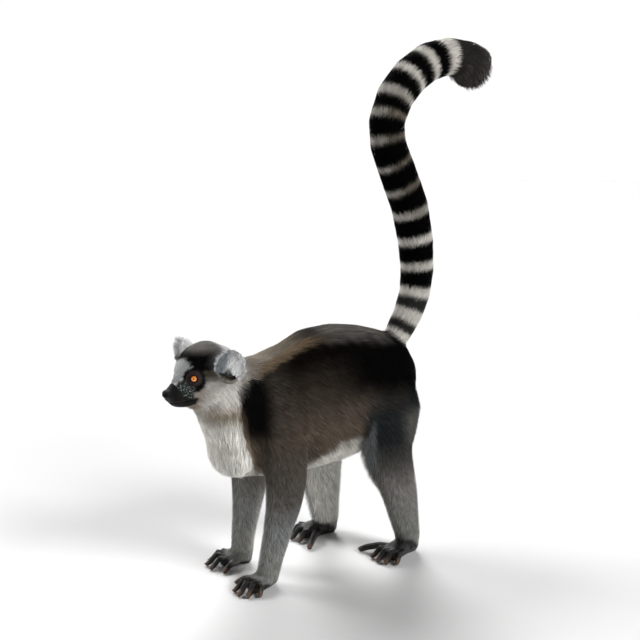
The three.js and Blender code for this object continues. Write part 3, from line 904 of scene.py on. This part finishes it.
def head_flow(p, n):
    """Away from the nose, over the crown and down the cheeks."""
    q = straight(p)
    away = unit(q - np.array([0, -236, 276]))
    low = smooth(294, 268, q[:, 2]) * smooth(-208, -188, q[:, 1])
    away = away + np.column_stack([0.2 * np.sign(q[:, 0]), 0.2 * low * waves(p, 26), -1.3 * low])
    return turn_head(away + HEAD_PIVOT, HEAD_TURN) - HEAD_PIVOT


def ear_flow(p, n):
    """Up and outwards to the ear's rim."""
    side = np.where(p[:, 0] > 0, 1.0, -1.0)
    middles = np.concatenate([from_ear(np.zeros((1, 3)), -1), from_ear(np.zeros((1, 3)), 1)])
    away = unit(p - middles[(side > 0).astype(int)])
    return away + np.column_stack([0.3 * side, 0 * side - 0.2, 0 * side + 0.3])


FLOWS = {
    "trunk": trunk_flow, "neck": trunk_flow, "foreleg": leg_flow, "hindleg": leg_flow, "paw": paw_flow,
    "tail": tail_flow, "head": head_flow, "ear": ear_flow,
}


def lie_of_coat(points, normals, shares):
    """Which way the coat runs over the skin, as unit vectors along it."""
    total = blend_regions(FLOWS, points, normals, shares)
    total -= normals * (total * normals).sum(-1, keepdims=True)
    return unit(total)


def growth(p, shares):
    """How long the coat grows at each root against its region's own length, and how far its tips stand out, in mm."""
    _, y, z = p.T
    q = straight(p)
    held = by_region(shares)
    length = 1 - 0.6 * smooth(-176, -204, q[:, 1]) * held["head"]
    jowl = smooth(272, 258, q[:, 2]) * smooth(-200, -186, q[:, 1]) * held["head"]
    chin = smooth(258, 252, q[:, 2]) * smooth(-214, -204, q[:, 1]) * smooth(-184, -192, q[:, 1]) * held["head"]
    ruff = smooth(180, 172, z) * smooth(-128, -140, y)
    dent = np.exp(-(((z - 186) / 5) ** 2)) * smooth(-140, -150, y)
    fringe = smooth(-5, 12, y) * smooth(64, 50, y) * smooth(188, 178, z) * (held["trunk"] + held["hindleg"])
    brush = smooth(TIP_FROM + 14, TIP_FROM + 34, tail_place(p)[0]) * held["tail"]
    length = length * (1 + 0.45 * jowl + 0.8 * chin + 0.3 * ruff + 0.3 * fringe + 0.35 * brush)
    legs = (held["foreleg"] + held["hindleg"]) * smooth(195, 150, z)
    stand = 1.6 * jowl + 3.5 * chin + 3 * ruff - 1.8 * dent + 7 * fringe + 3 * brush + 1.3 * held["paw"] + 1.1 * legs
    return length, stand


def scatter(hide, density):
    """Roots spread evenly over a hide, density being the tufts to a square millimetre at each face."""
    corners = hide.points[hide.faces]
    area = 0.5 * np.linalg.norm(np.cross(corners[:, 1] - corners[:, 0], corners[:, 2] - corners[:, 0]), axis=1)
    share = np.cumsum(area * density)
    count = int(share[-1])
    face = np.searchsorted(share, (np.arange(count) + rng.random(count)) * share[-1] / count)
    face = np.minimum(face, len(corners) - 1)
    a, b = rng.random((2, count, 1))
    a = np.sqrt(a)
    weights = np.stack([1 - a, a * (1 - b), a * b], 1)
    held = hide.faces[face]
    return (hide.points[held] * weights).sum(1), unit((hide.normals[held] * weights).sum(1))


LOCK = 5.5 # about how far apart the locks of the coat are, in mm


def draw_together(path, pull):
    """Draws the tips of the tufts in each small patch together, as the locks of a coat are. Gives each its patch."""
    roots = path[:, 0]
    bent = roots + 2.2 * np.sin(roots[:, [1, 2, 0]] * 0.41) + 1.2 * np.sin(roots[:, [2, 0, 1]] * 0.83)
    _, patch = np.unique(np.floor(bent / LOCK).astype(int), axis=0, return_inverse=True)
    patch = patch.ravel()
    count = np.maximum(np.bincount(patch), 1)
    middle = np.stack([np.bincount(patch, path[:, -1, k]) / count for k in range(3)], -1)
    shift = (middle[patch] - path[:, -1]) * pull[:, None]
    for step in range(1, path.shape[1]):
        path[:, step] += shift * (step / (path.shape[1] - 1)) ** 2
    return patch


# About how thick the parts of the body are, and how far apart the legs and the two faces of an ear lie when unrolled.
RADIUS = {"trunk": 70, "leg": 25, "tail": 22, "head": 35}
LEG_APART, EAR_APART = 170, 45
HEAD_MIDDLE = 282 # its height


def unwrapped(p, region):
    """Where each root lies on its region's skin, unrolled flat, in mm."""
    x, y, z = p.T
    if region in ("trunk", "neck"):
        return np.column_stack([RADIUS["trunk"] * np.arctan2(x, z - TRUNK_MIDDLE), y])
    if region in ("foreleg", "hindleg", "paw"):
        leg = np.argmin(((p[:, None, :2] - LEG_MIDDLES) ** 2).sum(-1), 1)
        away = p[:, :2] - LEG_MIDDLES[leg]
        return np.column_stack([leg * LEG_APART + RADIUS["leg"] * np.arctan2(away[:, 0], away[:, 1]), z])
    if region == "tail":
        along, above, _ = tail_place(p)
        return np.column_stack([RADIUS["tail"] * np.arctan2(x, above), along])
    q = straight(p)
    if region == "head":
        return np.column_stack([RADIUS["head"] * np.arctan2(q[:, 0], q[:, 2] - HEAD_MIDDLE), q[:, 1]])
    e = ear_frame(p) * EAR_HALF
    return np.column_stack([e[:, 0] + EAR_APART * (e[:, 1] > 0) + 2 * EAR_APART * (x > 0), e[:, 2]])


def grow(hide, layer, roots, normals):
    """One layer of the coat over one hide: a dictionary of what build_coat needs."""
    shares = region_shares(roots)
    held = by_region(shares)
    length, width, middle, tip, pull = (shares @ RECIPES[layer])[:, 1:].T
    heading = lie_of_coat(roots, normals, shares)
    turn = (rng.normal(0, 0.13, len(roots)) + 0.12 * waves(roots, 15))[:, None]
    heading = unit(heading + np.cross(normals, heading) * turn)
    across = np.cross(normals, heading)
    grown, stand = growth(roots, shares)
    length = length * rng.uniform(0.75, 1.2, len(roots)) * grown
    depth = -hide.to_outline(roots)
    steps = (0, 1) if RINGS[layer] == 1 else (0, 0.45, 1)
    path = np.stack([roots + heading * (length * step)[:, None] for step in steps], 1)
    path[:, 0] -= normals * 0.5
    levels = {1: middle, len(steps) - 1: tip * rng.uniform(0.86, 1.05, len(roots))}
    for step, level in levels.items():
        out = stand * steps[step] ** 2 * rng.uniform(0.5, 1.2, len(roots))
        for _ in range(2):
            gap = -depth * (1 - level) - hide.to_outline(path[:, step])
            path[:, step] += normals * np.clip(gap, -6, 14 - 11 * held["paw"])[:, None]
        path[:, step] += normals * out[:, None]
    patch = draw_together(path, pull)
    showing = path[:, 0] + (path[:, -1] - path[:, 0]) * 0.75
    tint = markings(showing, normals, shares)
    spread = shares @ GRIZZLES
    fleck = np.clip(1 + spread * rng.normal(0, 1, len(roots)), 0.45, 1.7)
    light = fleck * (1 + 0.07 * rng.normal(0, 1, patch.max() + 1))[patch]
    tips = markings(path[:, -1], normals, shares) * 0.5 + tint * 0.5
    brushed = smooth(TIP_FROM + 20, TIP_FROM + 40, tail_place(roots)[0]) * held["tail"]
    light = light * (1 + brushed * rng.uniform(-0.5, 0.7, len(roots)))
    tips = over(tips, "brush_tip", brushed * rng.uniform(0, 1, len(roots)))
    return {
        "path": path, "across": across, "up": normals, "width": width * rng.uniform(0.8, 1.15, len(roots)),
        "tint": tint * light[:, None], "tip": tips * light[:, None], "region": shares.argmax(1),
    }


def chosen(tufts, held):
    return {key: values[held] for key, values in tufts.items()}


def together(several):
    return {key: np.concatenate([tufts[key] for tufts in several]) for key in several[0]}


SECTION = ((-0.5, 0.0), (0.5, 0.0), (0.0, 0.42)) # of a tuft: across, and up from the skin
SIDES_OF_THREE = ((0, 1), (1, 2), (2, 0))


def tuft_faces(rings):
    """The triangles of a closed three-sided tuft, from its root through its rings to its point."""
    faces = [(0, 2, 1)]
    for a in range(0, 3 * rings - 3, 3):
        for i, j in SIDES_OF_THREE:
            faces += [(a + i, a + j, a + 3 + j), (a + i, a + 3 + j, a + 3 + i)]
    last = 3 * rings - 3
    return np.array(faces + [(last + i, last + j, last + 3) for i, j in SIDES_OF_THREE])


PATCH = 0.003 # a tuft's size on the bake map


def build_coat(name, tufts, places):
    """A mesh of tufts. places are their roots on the bake map, from 0 to 1."""
    path = tufts["path"]
    count, rings = len(path), path.shape[1] - 1
    points = np.empty((count, 3 * rings + 1, 3))
    along = np.repeat(np.arange(rings) / rings, 3)
    aside = np.array([corner[0] for corner in SECTION] * rings)
    for ring in range(rings):
        for corner, (across, up) in enumerate(SECTION):
            shift = tufts["across"] * across + tufts["up"] * up
            points[:, ring * 3 + corner] = path[:, ring] + shift * (tufts["width"] * (1 - 0.2 * ring))[:, None]
    points[:, -1] = path[:, -1]
    size = 3 * rings + 1
    faces = (np.arange(count)[:, None, None] * size + tuft_faces(rings)).reshape(-1, 3)
    thing = make_object(name, points.reshape(-1, 3), faces)
    reach = np.append(along, 1.0)[:, None]
    # Painted shade: each tuft is painted darker towards its root, where the coat shades itself, and a little lighter at
    # its tip.
    shade = 0.6 + 0.45 * reach**0.7
    colours = (tufts["tint"][:, None] * (1 - reach) + tufts["tip"][:, None] * reach) * shade
    paint(thing, "tint", colours.reshape(-1, 3))
    lean = np.append(aside * 0.7, 0)[:, None]
    bent = unit(tufts["up"][:, None] + tufts["across"][:, None] * lean)
    thing.data.normals_split_custom_set_from_vertices(bent.reshape(-1, 3))
    spread = np.column_stack([np.append(aside + 0.5, 0.5), reach]) * PATCH
    patches = (places[:, None] * (1 - PATCH) + spread).reshape(-1, 2)
    bake = thing.data.uv_layers.new(name="OFBake")
    bake.data.foreach_set("uv", patches[faces.ravel()].astype(np.float32).ravel())
    return thing


def crop(hide, roots, normals):
    """Leaves out the roots that another hide covers."""
    q = straight(roots)
    ahead = (q[:, 1] < HEAD_END[0] - 1) & (q[:, 2] > HEAD_END[1] + 1)
    kept = ahead if hide.name == "skin_head" else ~ahead
    shares = region_shares(roots)
    if hide.name == "skin":
        kept &= by_region(shares)["paw"] < 0.5
    if "hand" in hide.name or "foot" in hide.name:
        kept &= roots[:, 2] < PAW_TOP[hide.name.split("_")[1]] - 5
    kept &= rng.random(len(roots)) > bareness(roots, shares)
    return roots[kept], normals[kept]


EAR_HAIRS = 1700 # to an ear


def ear_hair(side):
    """Long pale hair of an ear: most hangs from its upper half over the hollow, and some stands ahead of its rim."""
    count = EAR_HAIRS
    turn = np.radians(rng.uniform(-25, 205, count))
    inner = rng.random(count) < (0.62 if side > 0 else 0.35)
    rim = np.column_stack([np.cos(turn), 0 * turn, np.sin(turn)])
    e = rim * np.where(inner, rng.uniform(0.3, 0.95, count), rng.uniform(0.86, 1.0, count))[:, None]
    e[:, 1] = np.where(inner, -0.42, -0.3) + rng.normal(0, 0.06, count)
    hang = np.column_stack([-0.35 * rim[:, 0] - 0.3, 0 * turn - 0.15, -0.9 - 0.2 * rim[:, 2]])
    stand = np.column_stack([0.35 * rim[:, 0] - 0.15, 0 * turn - 0.9, 0.1 - 0.35 * (rim[:, 0] > 0.3)])
    aim = np.where(inner[:, None], hang, stand) + rng.normal(0, 0.14, (count, 3))
    length = np.where(inner, rng.uniform(7, 13, count), rng.uniform(6, 12, count) * (1 if side > 0 else 1.1))
    length = length * (0.5 + 0.5 * smooth(-0.3, 0.5, e[:, 2]))
    start = from_ear(e, side)
    heading = unit(from_ear(e + aim * 0.01, side) - start)
    outward = unit(from_ear(e + np.array([0, -0.01, 0.0]), side) - start)
    middle = start + heading * (length * 0.5)[:, None] + outward * np.where(inner, 2.0, 0.6)[:, None]
    path = np.stack([start, middle, start + heading * length[:, None] + outward * 0.6], 1)
    draw_together(path, np.full(count, 0.5))
    # Painted shade: on the near ear only, the hair over the hollow takes the hollow's blue-grey.
    hollow_shade = smooth(0.1, -0.5, e[:, 0]) * inner * (side > 0)
    tint = over(plain(rim, "ear"), "ear_hollow_shade", hollow_shade) * (rng.random(count) ** 0.4 * 0.7 + 0.4)[:, None]
    facing = np.where(inner[:, None] | (side > 0), outward, (0, -0.3, 1))
    up = unit(facing - heading * (facing * heading).sum(1)[:, None])
    return {
        "path": path, "across": unit(np.cross(up, heading)), "up": up, "width": rng.uniform(0.45, 0.8, count),
        "tint": tint, "tip": tint * 1.15, "region": np.full(count, ORDER.index("ear")),
    }


def tail_brush():
    """Longer hair that fans out below and behind the tail's tip."""
    hide = hides[0]
    place = hide.points[hide.faces[:, 0]]
    roots, normals = scatter(hide, 0.75 * ((place[:, 1] > 215) & (place[:, 2] > 600)))
    along, above, heading = tail_place(roots)
    kept = (along > TIP_FROM + 6) & (above < 9 + 30 * smooth(TIP_FROM + 20, TIP_FROM + 34, along))
    roots, normals, heading = roots[kept], normals[kept], heading[kept]
    count = len(roots)
    end = smooth(TIP_FROM + 22, TIP_FROM + 36, tail_place(roots)[0])[:, None]
    aim = normals * 0.5 + heading * (0.45 + 0.9 * end) + np.array([0, 0.1, -0.6]) * (1 - 0.4 * end)
    aim = unit(aim + rng.normal(0, 0.08, (count, 3)))
    length = rng.uniform(13, 21, count)[:, None]
    path = np.stack([roots, roots + aim * length * 0.55, roots + aim * length + np.array([0, 0, -1.5])], 1)
    draw_together(path, np.full(count, 0.4))
    tint = plain(roots, "brush") * rng.uniform(0.35, 1.6, count)[:, None]
    return {
        "path": path, "across": unit(np.cross(normals, aim)), "up": normals, "width": rng.uniform(0.6, 0.95, count),
        "tint": tint, "tip": over(tint, "brush_tip", rng.uniform(0, 0.8, count)),
        "region": np.full(count, ORDER.index("tail")),
    }


THIN = 1.0
layers = {}
for layer, recipe in RECIPES.items():
    grown = []
    for hide in hides:
        density = hide.shares[hide.faces[:, 0]] @ recipe[:, 0] * THIN
        roots, normals = crop(hide, *scatter(hide, density))
        if len(roots):
            grown.append(grow(hide, layer, roots, normals))
    layers[layer] = together(grown)
layers["long"] = together([layers["long"], ear_hair(1), ear_hair(-1), tail_brush()])

PIECE = {"short": 48000, "long": 19000} # tufts to a piece at most
SLOTS = {
    "trunk": "coat_dark", "neck": "coat_pale", "foreleg": "coat_grey", "hindleg": "coat_grey", "paw": "coat_grey",
    "tail": "coat_banded", "head": "coat_pale", "ear": "coat_pale",
}
coat_pieces = []
for layer, tufts in layers.items():
    for number, region in enumerate(ORDER):
        held = np.flatnonzero(tufts["region"] == number)
        if not len(held):
            continue
        held = held[np.argsort(tufts["path"][held, 0, 1], kind="stable")]
        places = unwrapped(tufts["path"][held, 0], region)
        parts = np.array_split(np.arange(len(held)), -(-len(held) // PIECE[layer]))
        for count, part in enumerate(parts, 1):
            low, high = places[part].min(0), places[part].max(0)
            name = f"coat_{layer}_{region}_{count}"
            thing = build_coat(name, chosen(tufts, held[part]), (places[part] - low) / (high - low))
            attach(thing, "root")
            coat_pieces.append((thing, SLOTS[region]))

# ---- Eyes ----

CORNEA = 0.5 # how far it bulges beyond the ball
EYE_ROUND = 64


def make_eye(side):
    """An eyeball with its clear front bulging, and an iris of fine spokes round the pupil."""
    rows = np.concatenate([np.linspace(0, 46, 40), np.linspace(49, 180, 20)])
    lean, turn = np.radians(rows)[:, None], np.linspace(0, 2 * math.pi, EYE_ROUND, endpoint=False)[None]
    radius = EYE_RADIUS + CORNEA * smooth(45, 8, np.degrees(lean))
    out = radius * np.sin(lean)
    local = (
        (out * np.cos(turn))[..., None] * GAZE_SIDE
        + (out * np.sin(turn))[..., None] * GAZE_UP
        + (radius * np.cos(lean) + 0 * turn)[..., None] * GAZE
    )
    points = (local.reshape(-1, 3) + EYE) * (side, 1, 1)
    faces = tube_faces(len(rows), EYE_ROUND)
    thing = make_object(f"eyeball_{'left' if side > 0 else 'right'}", turn_head(points, HEAD_TURN), faces[:, ::-side])
    out = (EYE_RADIUS * np.sin(lean) + 0 * turn).ravel() + 90 * (np.degrees(lean + 0 * turn).ravel() > 90)
    spoke = np.sin(turn * 23 + 2 * np.sin(turn * 7)) * 0.5 + np.sin(turn * 41 + 1.3) * 0.3
    spoke = np.broadcast_to(spoke, (len(rows), EYE_ROUND)).ravel()
    tint = ramp(out, (0.95, "pupil"), (1.2, "iris"), (2.3, "iris"), (3.0, "iris_deep"), (3.7, "limbus"))
    tint = tint * (1 + 0.16 * spoke * smooth(1.4, 2.2, out) * smooth(3.7, 3.1, out))[:, None]
    paint(thing, "tint", tint)
    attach(thing, "root")
    return thing


eyes = [make_eye(side) for side in (1, -1)]
for thing, node in zip(eyes, ("eye_left", "eye_right")):
    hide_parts(node)

# ---- Nails ----

NAIL_ROWS, NAIL_ROUND = 12, 18


def nail(root, tip, half):
    """A nail in its paw's frame: a thin plate arched across the digit's end, bent down and narrowed to the front."""
    ahead = unit(np.array([tip[0] - root[0], tip[1] - root[1]], float))
    aside = np.array([-ahead[1], ahead[0]])
    along = np.linspace(0, 1, NAIL_ROWS)[:, None]
    turn = np.linspace(0, 2 * math.pi, NAIL_ROUND, endpoint=False)[None]
    full = np.sin(math.pi * (0.06 + 0.9 * along)) ** 0.45
    wide = half * 0.66 * full * (1 - 0.25 * along)
    thick = 0.5 * full
    u = wide * np.cos(turn)
    forward = half * (-0.45 + 1.35 * along) + 0 * turn
    height = half * (1.34 - 0.55 * along**2) - 0.5 * u**2 / half + thick * np.sin(turn)
    flat = np.array(tip) + forward[..., None] * ahead + u[..., None] * aside
    return np.concatenate([flat, height[..., None]], -1).reshape(-1, 3)


nail_points, nail_faces = [], []
for paw in PAWS:
    for digit in DIGITS[paw.split("_")[0]]:
        points = from_paw(paw, nail(*digit))
        faces = tube_faces(NAIL_ROWS, NAIL_ROUND)[:, :: -side_of(paw)]
        nail_faces.append(faces + sum(len(p) for p in nail_points))
        nail_points.append(points)
nails = make_object("nails", np.concatenate(nail_points), np.concatenate(nail_faces))
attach(nails, "root")

# ---- Materials ----


class Finish:
    """A node material that is built up step by step."""

    def __init__(self, name, **uniform):
        self.material = bpy.data.materials.new(name)
        self.material.use_nodes = True
        self.nodes = self.material.node_tree.nodes
        self.shader = self.nodes["Principled BSDF"]
        for socket, value in uniform.items():
            self.shader.inputs[socket.replace("_", " ")].default_value = value
        self.place = self.nodes.new("ShaderNodeTexCoord").outputs["Object"]

    def feed(self, value, socket):
        if isinstance(value, bpy.types.NodeSocket):
            self.material.node_tree.links.new(value, socket)
        else:
            socket.default_value = value

    def node(self, kind, output, settings=(), **inputs):
        """A new node with its settings and inputs, and one of its outputs."""
        made = self.nodes.new(f"ShaderNode{kind}")
        for key, value in dict(settings).items():
            setattr(made, key, value)
        for key, value in inputs.items():
            self.feed(value, made.inputs[int(key[1:])] if key[0] == "i" and key[1:].isdigit() else made.inputs[key])
        return made.outputs[output]

    def attribute(self, name):
        return self.node("Attribute", "Color", {"attribute_name": name})

    def noise(self, scale, detail=3.0, stretch=None):
        place = self.place
        if stretch:
            place = self.node("Mapping", "Vector", Vector=place, Scale=stretch)
        return self.node("TexNoise", "Fac", Vector=place, Scale=scale, Detail=detail)

    def vary(self, value, low, high):
        """value from 0 to 1 spread from low to high."""
        return self.node("MapRange", "Result", i0=value, i3=low, i4=high)

    def times(self, colour, factor):
        """colour made lighter or darker by a factor."""
        return self.node("VectorMath", "Vector", {"operation": "SCALE"}, i0=colour, Scale=factor)

    def math(self, operation, a, b):
        return self.node("Math", "Value", {"operation": operation}, i0=a, i1=b)

    def bump(self, height, strength, distance, below=None):
        extra = {"Normal": below} if below else {}
        return self.node("Bump", "Normal", Height=height, Strength=strength, Distance=distance, **extra)

    def set(self, **sockets):
        for socket, value in sockets.items():
            self.feed(value, self.shader.inputs[socket.replace("_", " ")])


def coat_material(name, roughness, sheen):
    """Fur: its markings, with every hair a little lighter or darker than the next."""
    finish = Finish(name, Specular_IOR_Level=0.03, Sheen_Weight=sheen, Sheen_Roughness=0.5)
    hairs = finish.vary(finish.noise(900, 2.0), 0.82, 1.18)
    finish.set(
        Base_Color=finish.times(finish.attribute("tint"), hairs),
        Roughness=finish.vary(finish.noise(120), roughness - 0.08, roughness + 0.08),
    )
    return finish.material


COATS = {
    "coat_dark": coat_material("fur_dark", 0.78, 0.0),
    "coat_grey": coat_material("fur_grey", 0.8, 0.0),
    "coat_pale": coat_material("fur_pale", 0.82, 0.01),
    "coat_banded": coat_material("fur_banded", 0.78, 0.0),
}
for thing, slot in coat_pieces:
    thing.data.materials.append(COATS[slot])

leather = Finish("skin")
bare = leather.node("SeparateColor", "Red", Color=leather.attribute("finish"))
damp = bare.node.outputs["Green"]
creases = leather.node("TexVoronoi", "Distance", {"feature": "DISTANCE_TO_EDGE"}, Vector=leather.place, Scale=620.0)
creased = leather.math("MULTIPLY", leather.math("MINIMUM", creases, 0.18), bare)
streaks = leather.noise(700, 3.0, (1, 0.25, 0.25))
skin_bump = leather.bump(streaks, 0.25, 0.0004, leather.bump(creased, 0.7, 0.0012))
dry = leather.vary(leather.noise(160), 0.5, 0.66)
leather.set(
    Base_Color=leather.times(leather.attribute("tint"), leather.vary(leather.noise(380, 4.0), 0.8, 1.2)),
    Roughness=leather.math("SUBTRACT", dry, leather.vary(damp, 0.0, 0.25)),
    Specular_IOR_Level=leather.vary(damp, 0.1, 0.3),
    Normal=skin_bump,
)
for thing in skins:
    thing.data.materials.append(leather.material)
    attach(thing, "root")
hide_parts(*FLESH)

wet = Finish("eye", Roughness=0.25, Coat_Weight=1.0, Coat_Roughness=0.03, Coat_IOR=1.6)
wet.set(Base_Color=wet.times(wet.attribute("tint"), wet.vary(wet.noise(1500), 0.88, 1.12)))
for thing in eyes:
    thing.data.materials.append(wet.material)

horn = Finish("nail", Specular_IOR_Level=0.4)
shades = horn.node("ValToRGB", "Color", Fac=horn.noise(240, 3.0))
ramp_points = shades.node.color_ramp.elements
ramp_points[0].color = (*(TONES["nail"] * 0.55), 1)
ramp_points[1].color = (*(TONES["nail"] * 1.35), 1)
horn.set(
    Base_Color=shades,
    Roughness=horn.vary(horn.noise(300), 0.3, 0.45),
    Normal=horn.bump(horn.noise(500, 2.0, (1, 0.3, 1)), 0.3, 0.0003),
)
nails.data.materials.append(horn.material)

# ---- Camera, light and floor ----

VIEW = (56, 9.5) # the camera's azimuth and elevation, in degrees
DISTANCE = 1.2
TARGET = Vector((-ORIGIN[0] / 1000, -ORIGIN[1] / 1000, 0.334))
FLOOR_SIZE = 80.0
FLOOR_SHADES = (0.71, 0.73)


def towards(azimuth, elevation):
    """The direction of a place seen from the middle, azimuth being turned from ahead of the animal to its left."""
    a, e = math.radians(azimuth), math.radians(elevation)
    return Vector((math.sin(a) * math.cos(e), -math.cos(a) * math.cos(e), math.sin(e)))


def place_object(name, data, away, distance, middle):
    """Sets a camera or a light at a distance from a place, facing it."""
    thing = bpy.data.objects.new(name, data)
    thing.location = middle + away * distance
    thing.rotation_euler = (-away).to_track_quat("-Z", "Y").to_euler()
    bpy.context.scene.collection.objects.link(thing)
    return thing


def sun(name, azimuth, elevation, strength, softness):
    lamp = bpy.data.lights.new(name, "SUN")
    lamp.energy = strength
    lamp.angle = math.radians(softness)
    place_object(name, lamp, towards(azimuth, elevation), 3, Vector((0, 0, 0.3)))


lens = bpy.data.cameras.new("camera")
lens.lens, lens.sensor_width, lens.clip_start = 50, 36, 0.05
bpy.context.scene.camera = place_object("camera", lens, towards(*VIEW), DISTANCE, TARGET)

bpy.ops.mesh.primitive_plane_add(size=FLOOR_SIZE)
floor = bpy.context.object
floor.name = "floor"
ground = Finish("floor", Roughness=0.7, Specular_IOR_Level=0.1)
low, high = ((share, share, share, 1) for share in FLOOR_SHADES)
ground.set(Base_Color=ground.node("Mix", 2, {"data_type": "RGBA"}, i0=ground.noise(3), i6=low, i7=high))
floor.data.materials.append(ground.material)

sun("key_ahead", 295, 42, 1.68, 22)
sun("key_beside", 242, 44, 2.3, 24)
sun("side", 115, 35, 2.4, 22)
catch = bpy.data.lights.new("catch", "AREA")
catch.size, catch.energy = 0.2, 1.8
place_object("catch", catch, towards(-16, 32), 1.4, Vector((0, -0.2, 0.28)))

# The studio's walls are bright up to a little above the horizon, and its ceiling is dim. Heights are those of the
# direction looked in.
WALL_TOP, CEILING = 0.185, 0.265
WALL_LIGHT, CEILING_LIGHT = 1.03, 0.03
world = bpy.data.worlds.new("studio")
world.use_nodes = True
nodes, links = world.node_tree.nodes, world.node_tree.links
height = nodes.new("ShaderNodeSeparateXYZ")
links.new(nodes.new("ShaderNodeTexCoord").outputs["Generated"], height.inputs[0])
fade = nodes.new("ShaderNodeMapRange")
for socket, value in zip(fade.inputs[1:5], (WALL_TOP, CEILING, WALL_LIGHT, CEILING_LIGHT)):
    socket.default_value = value
links.new(height.outputs["Z"], fade.inputs[0])
links.new(fade.outputs[0], nodes["Background"].inputs["Strength"])
nodes["Background"].inputs["Color"].default_value = (1, 1, 1, 1)
bpy.context.scene.world = world
bpy.context.scene.view_settings.view_transform = "Standard"
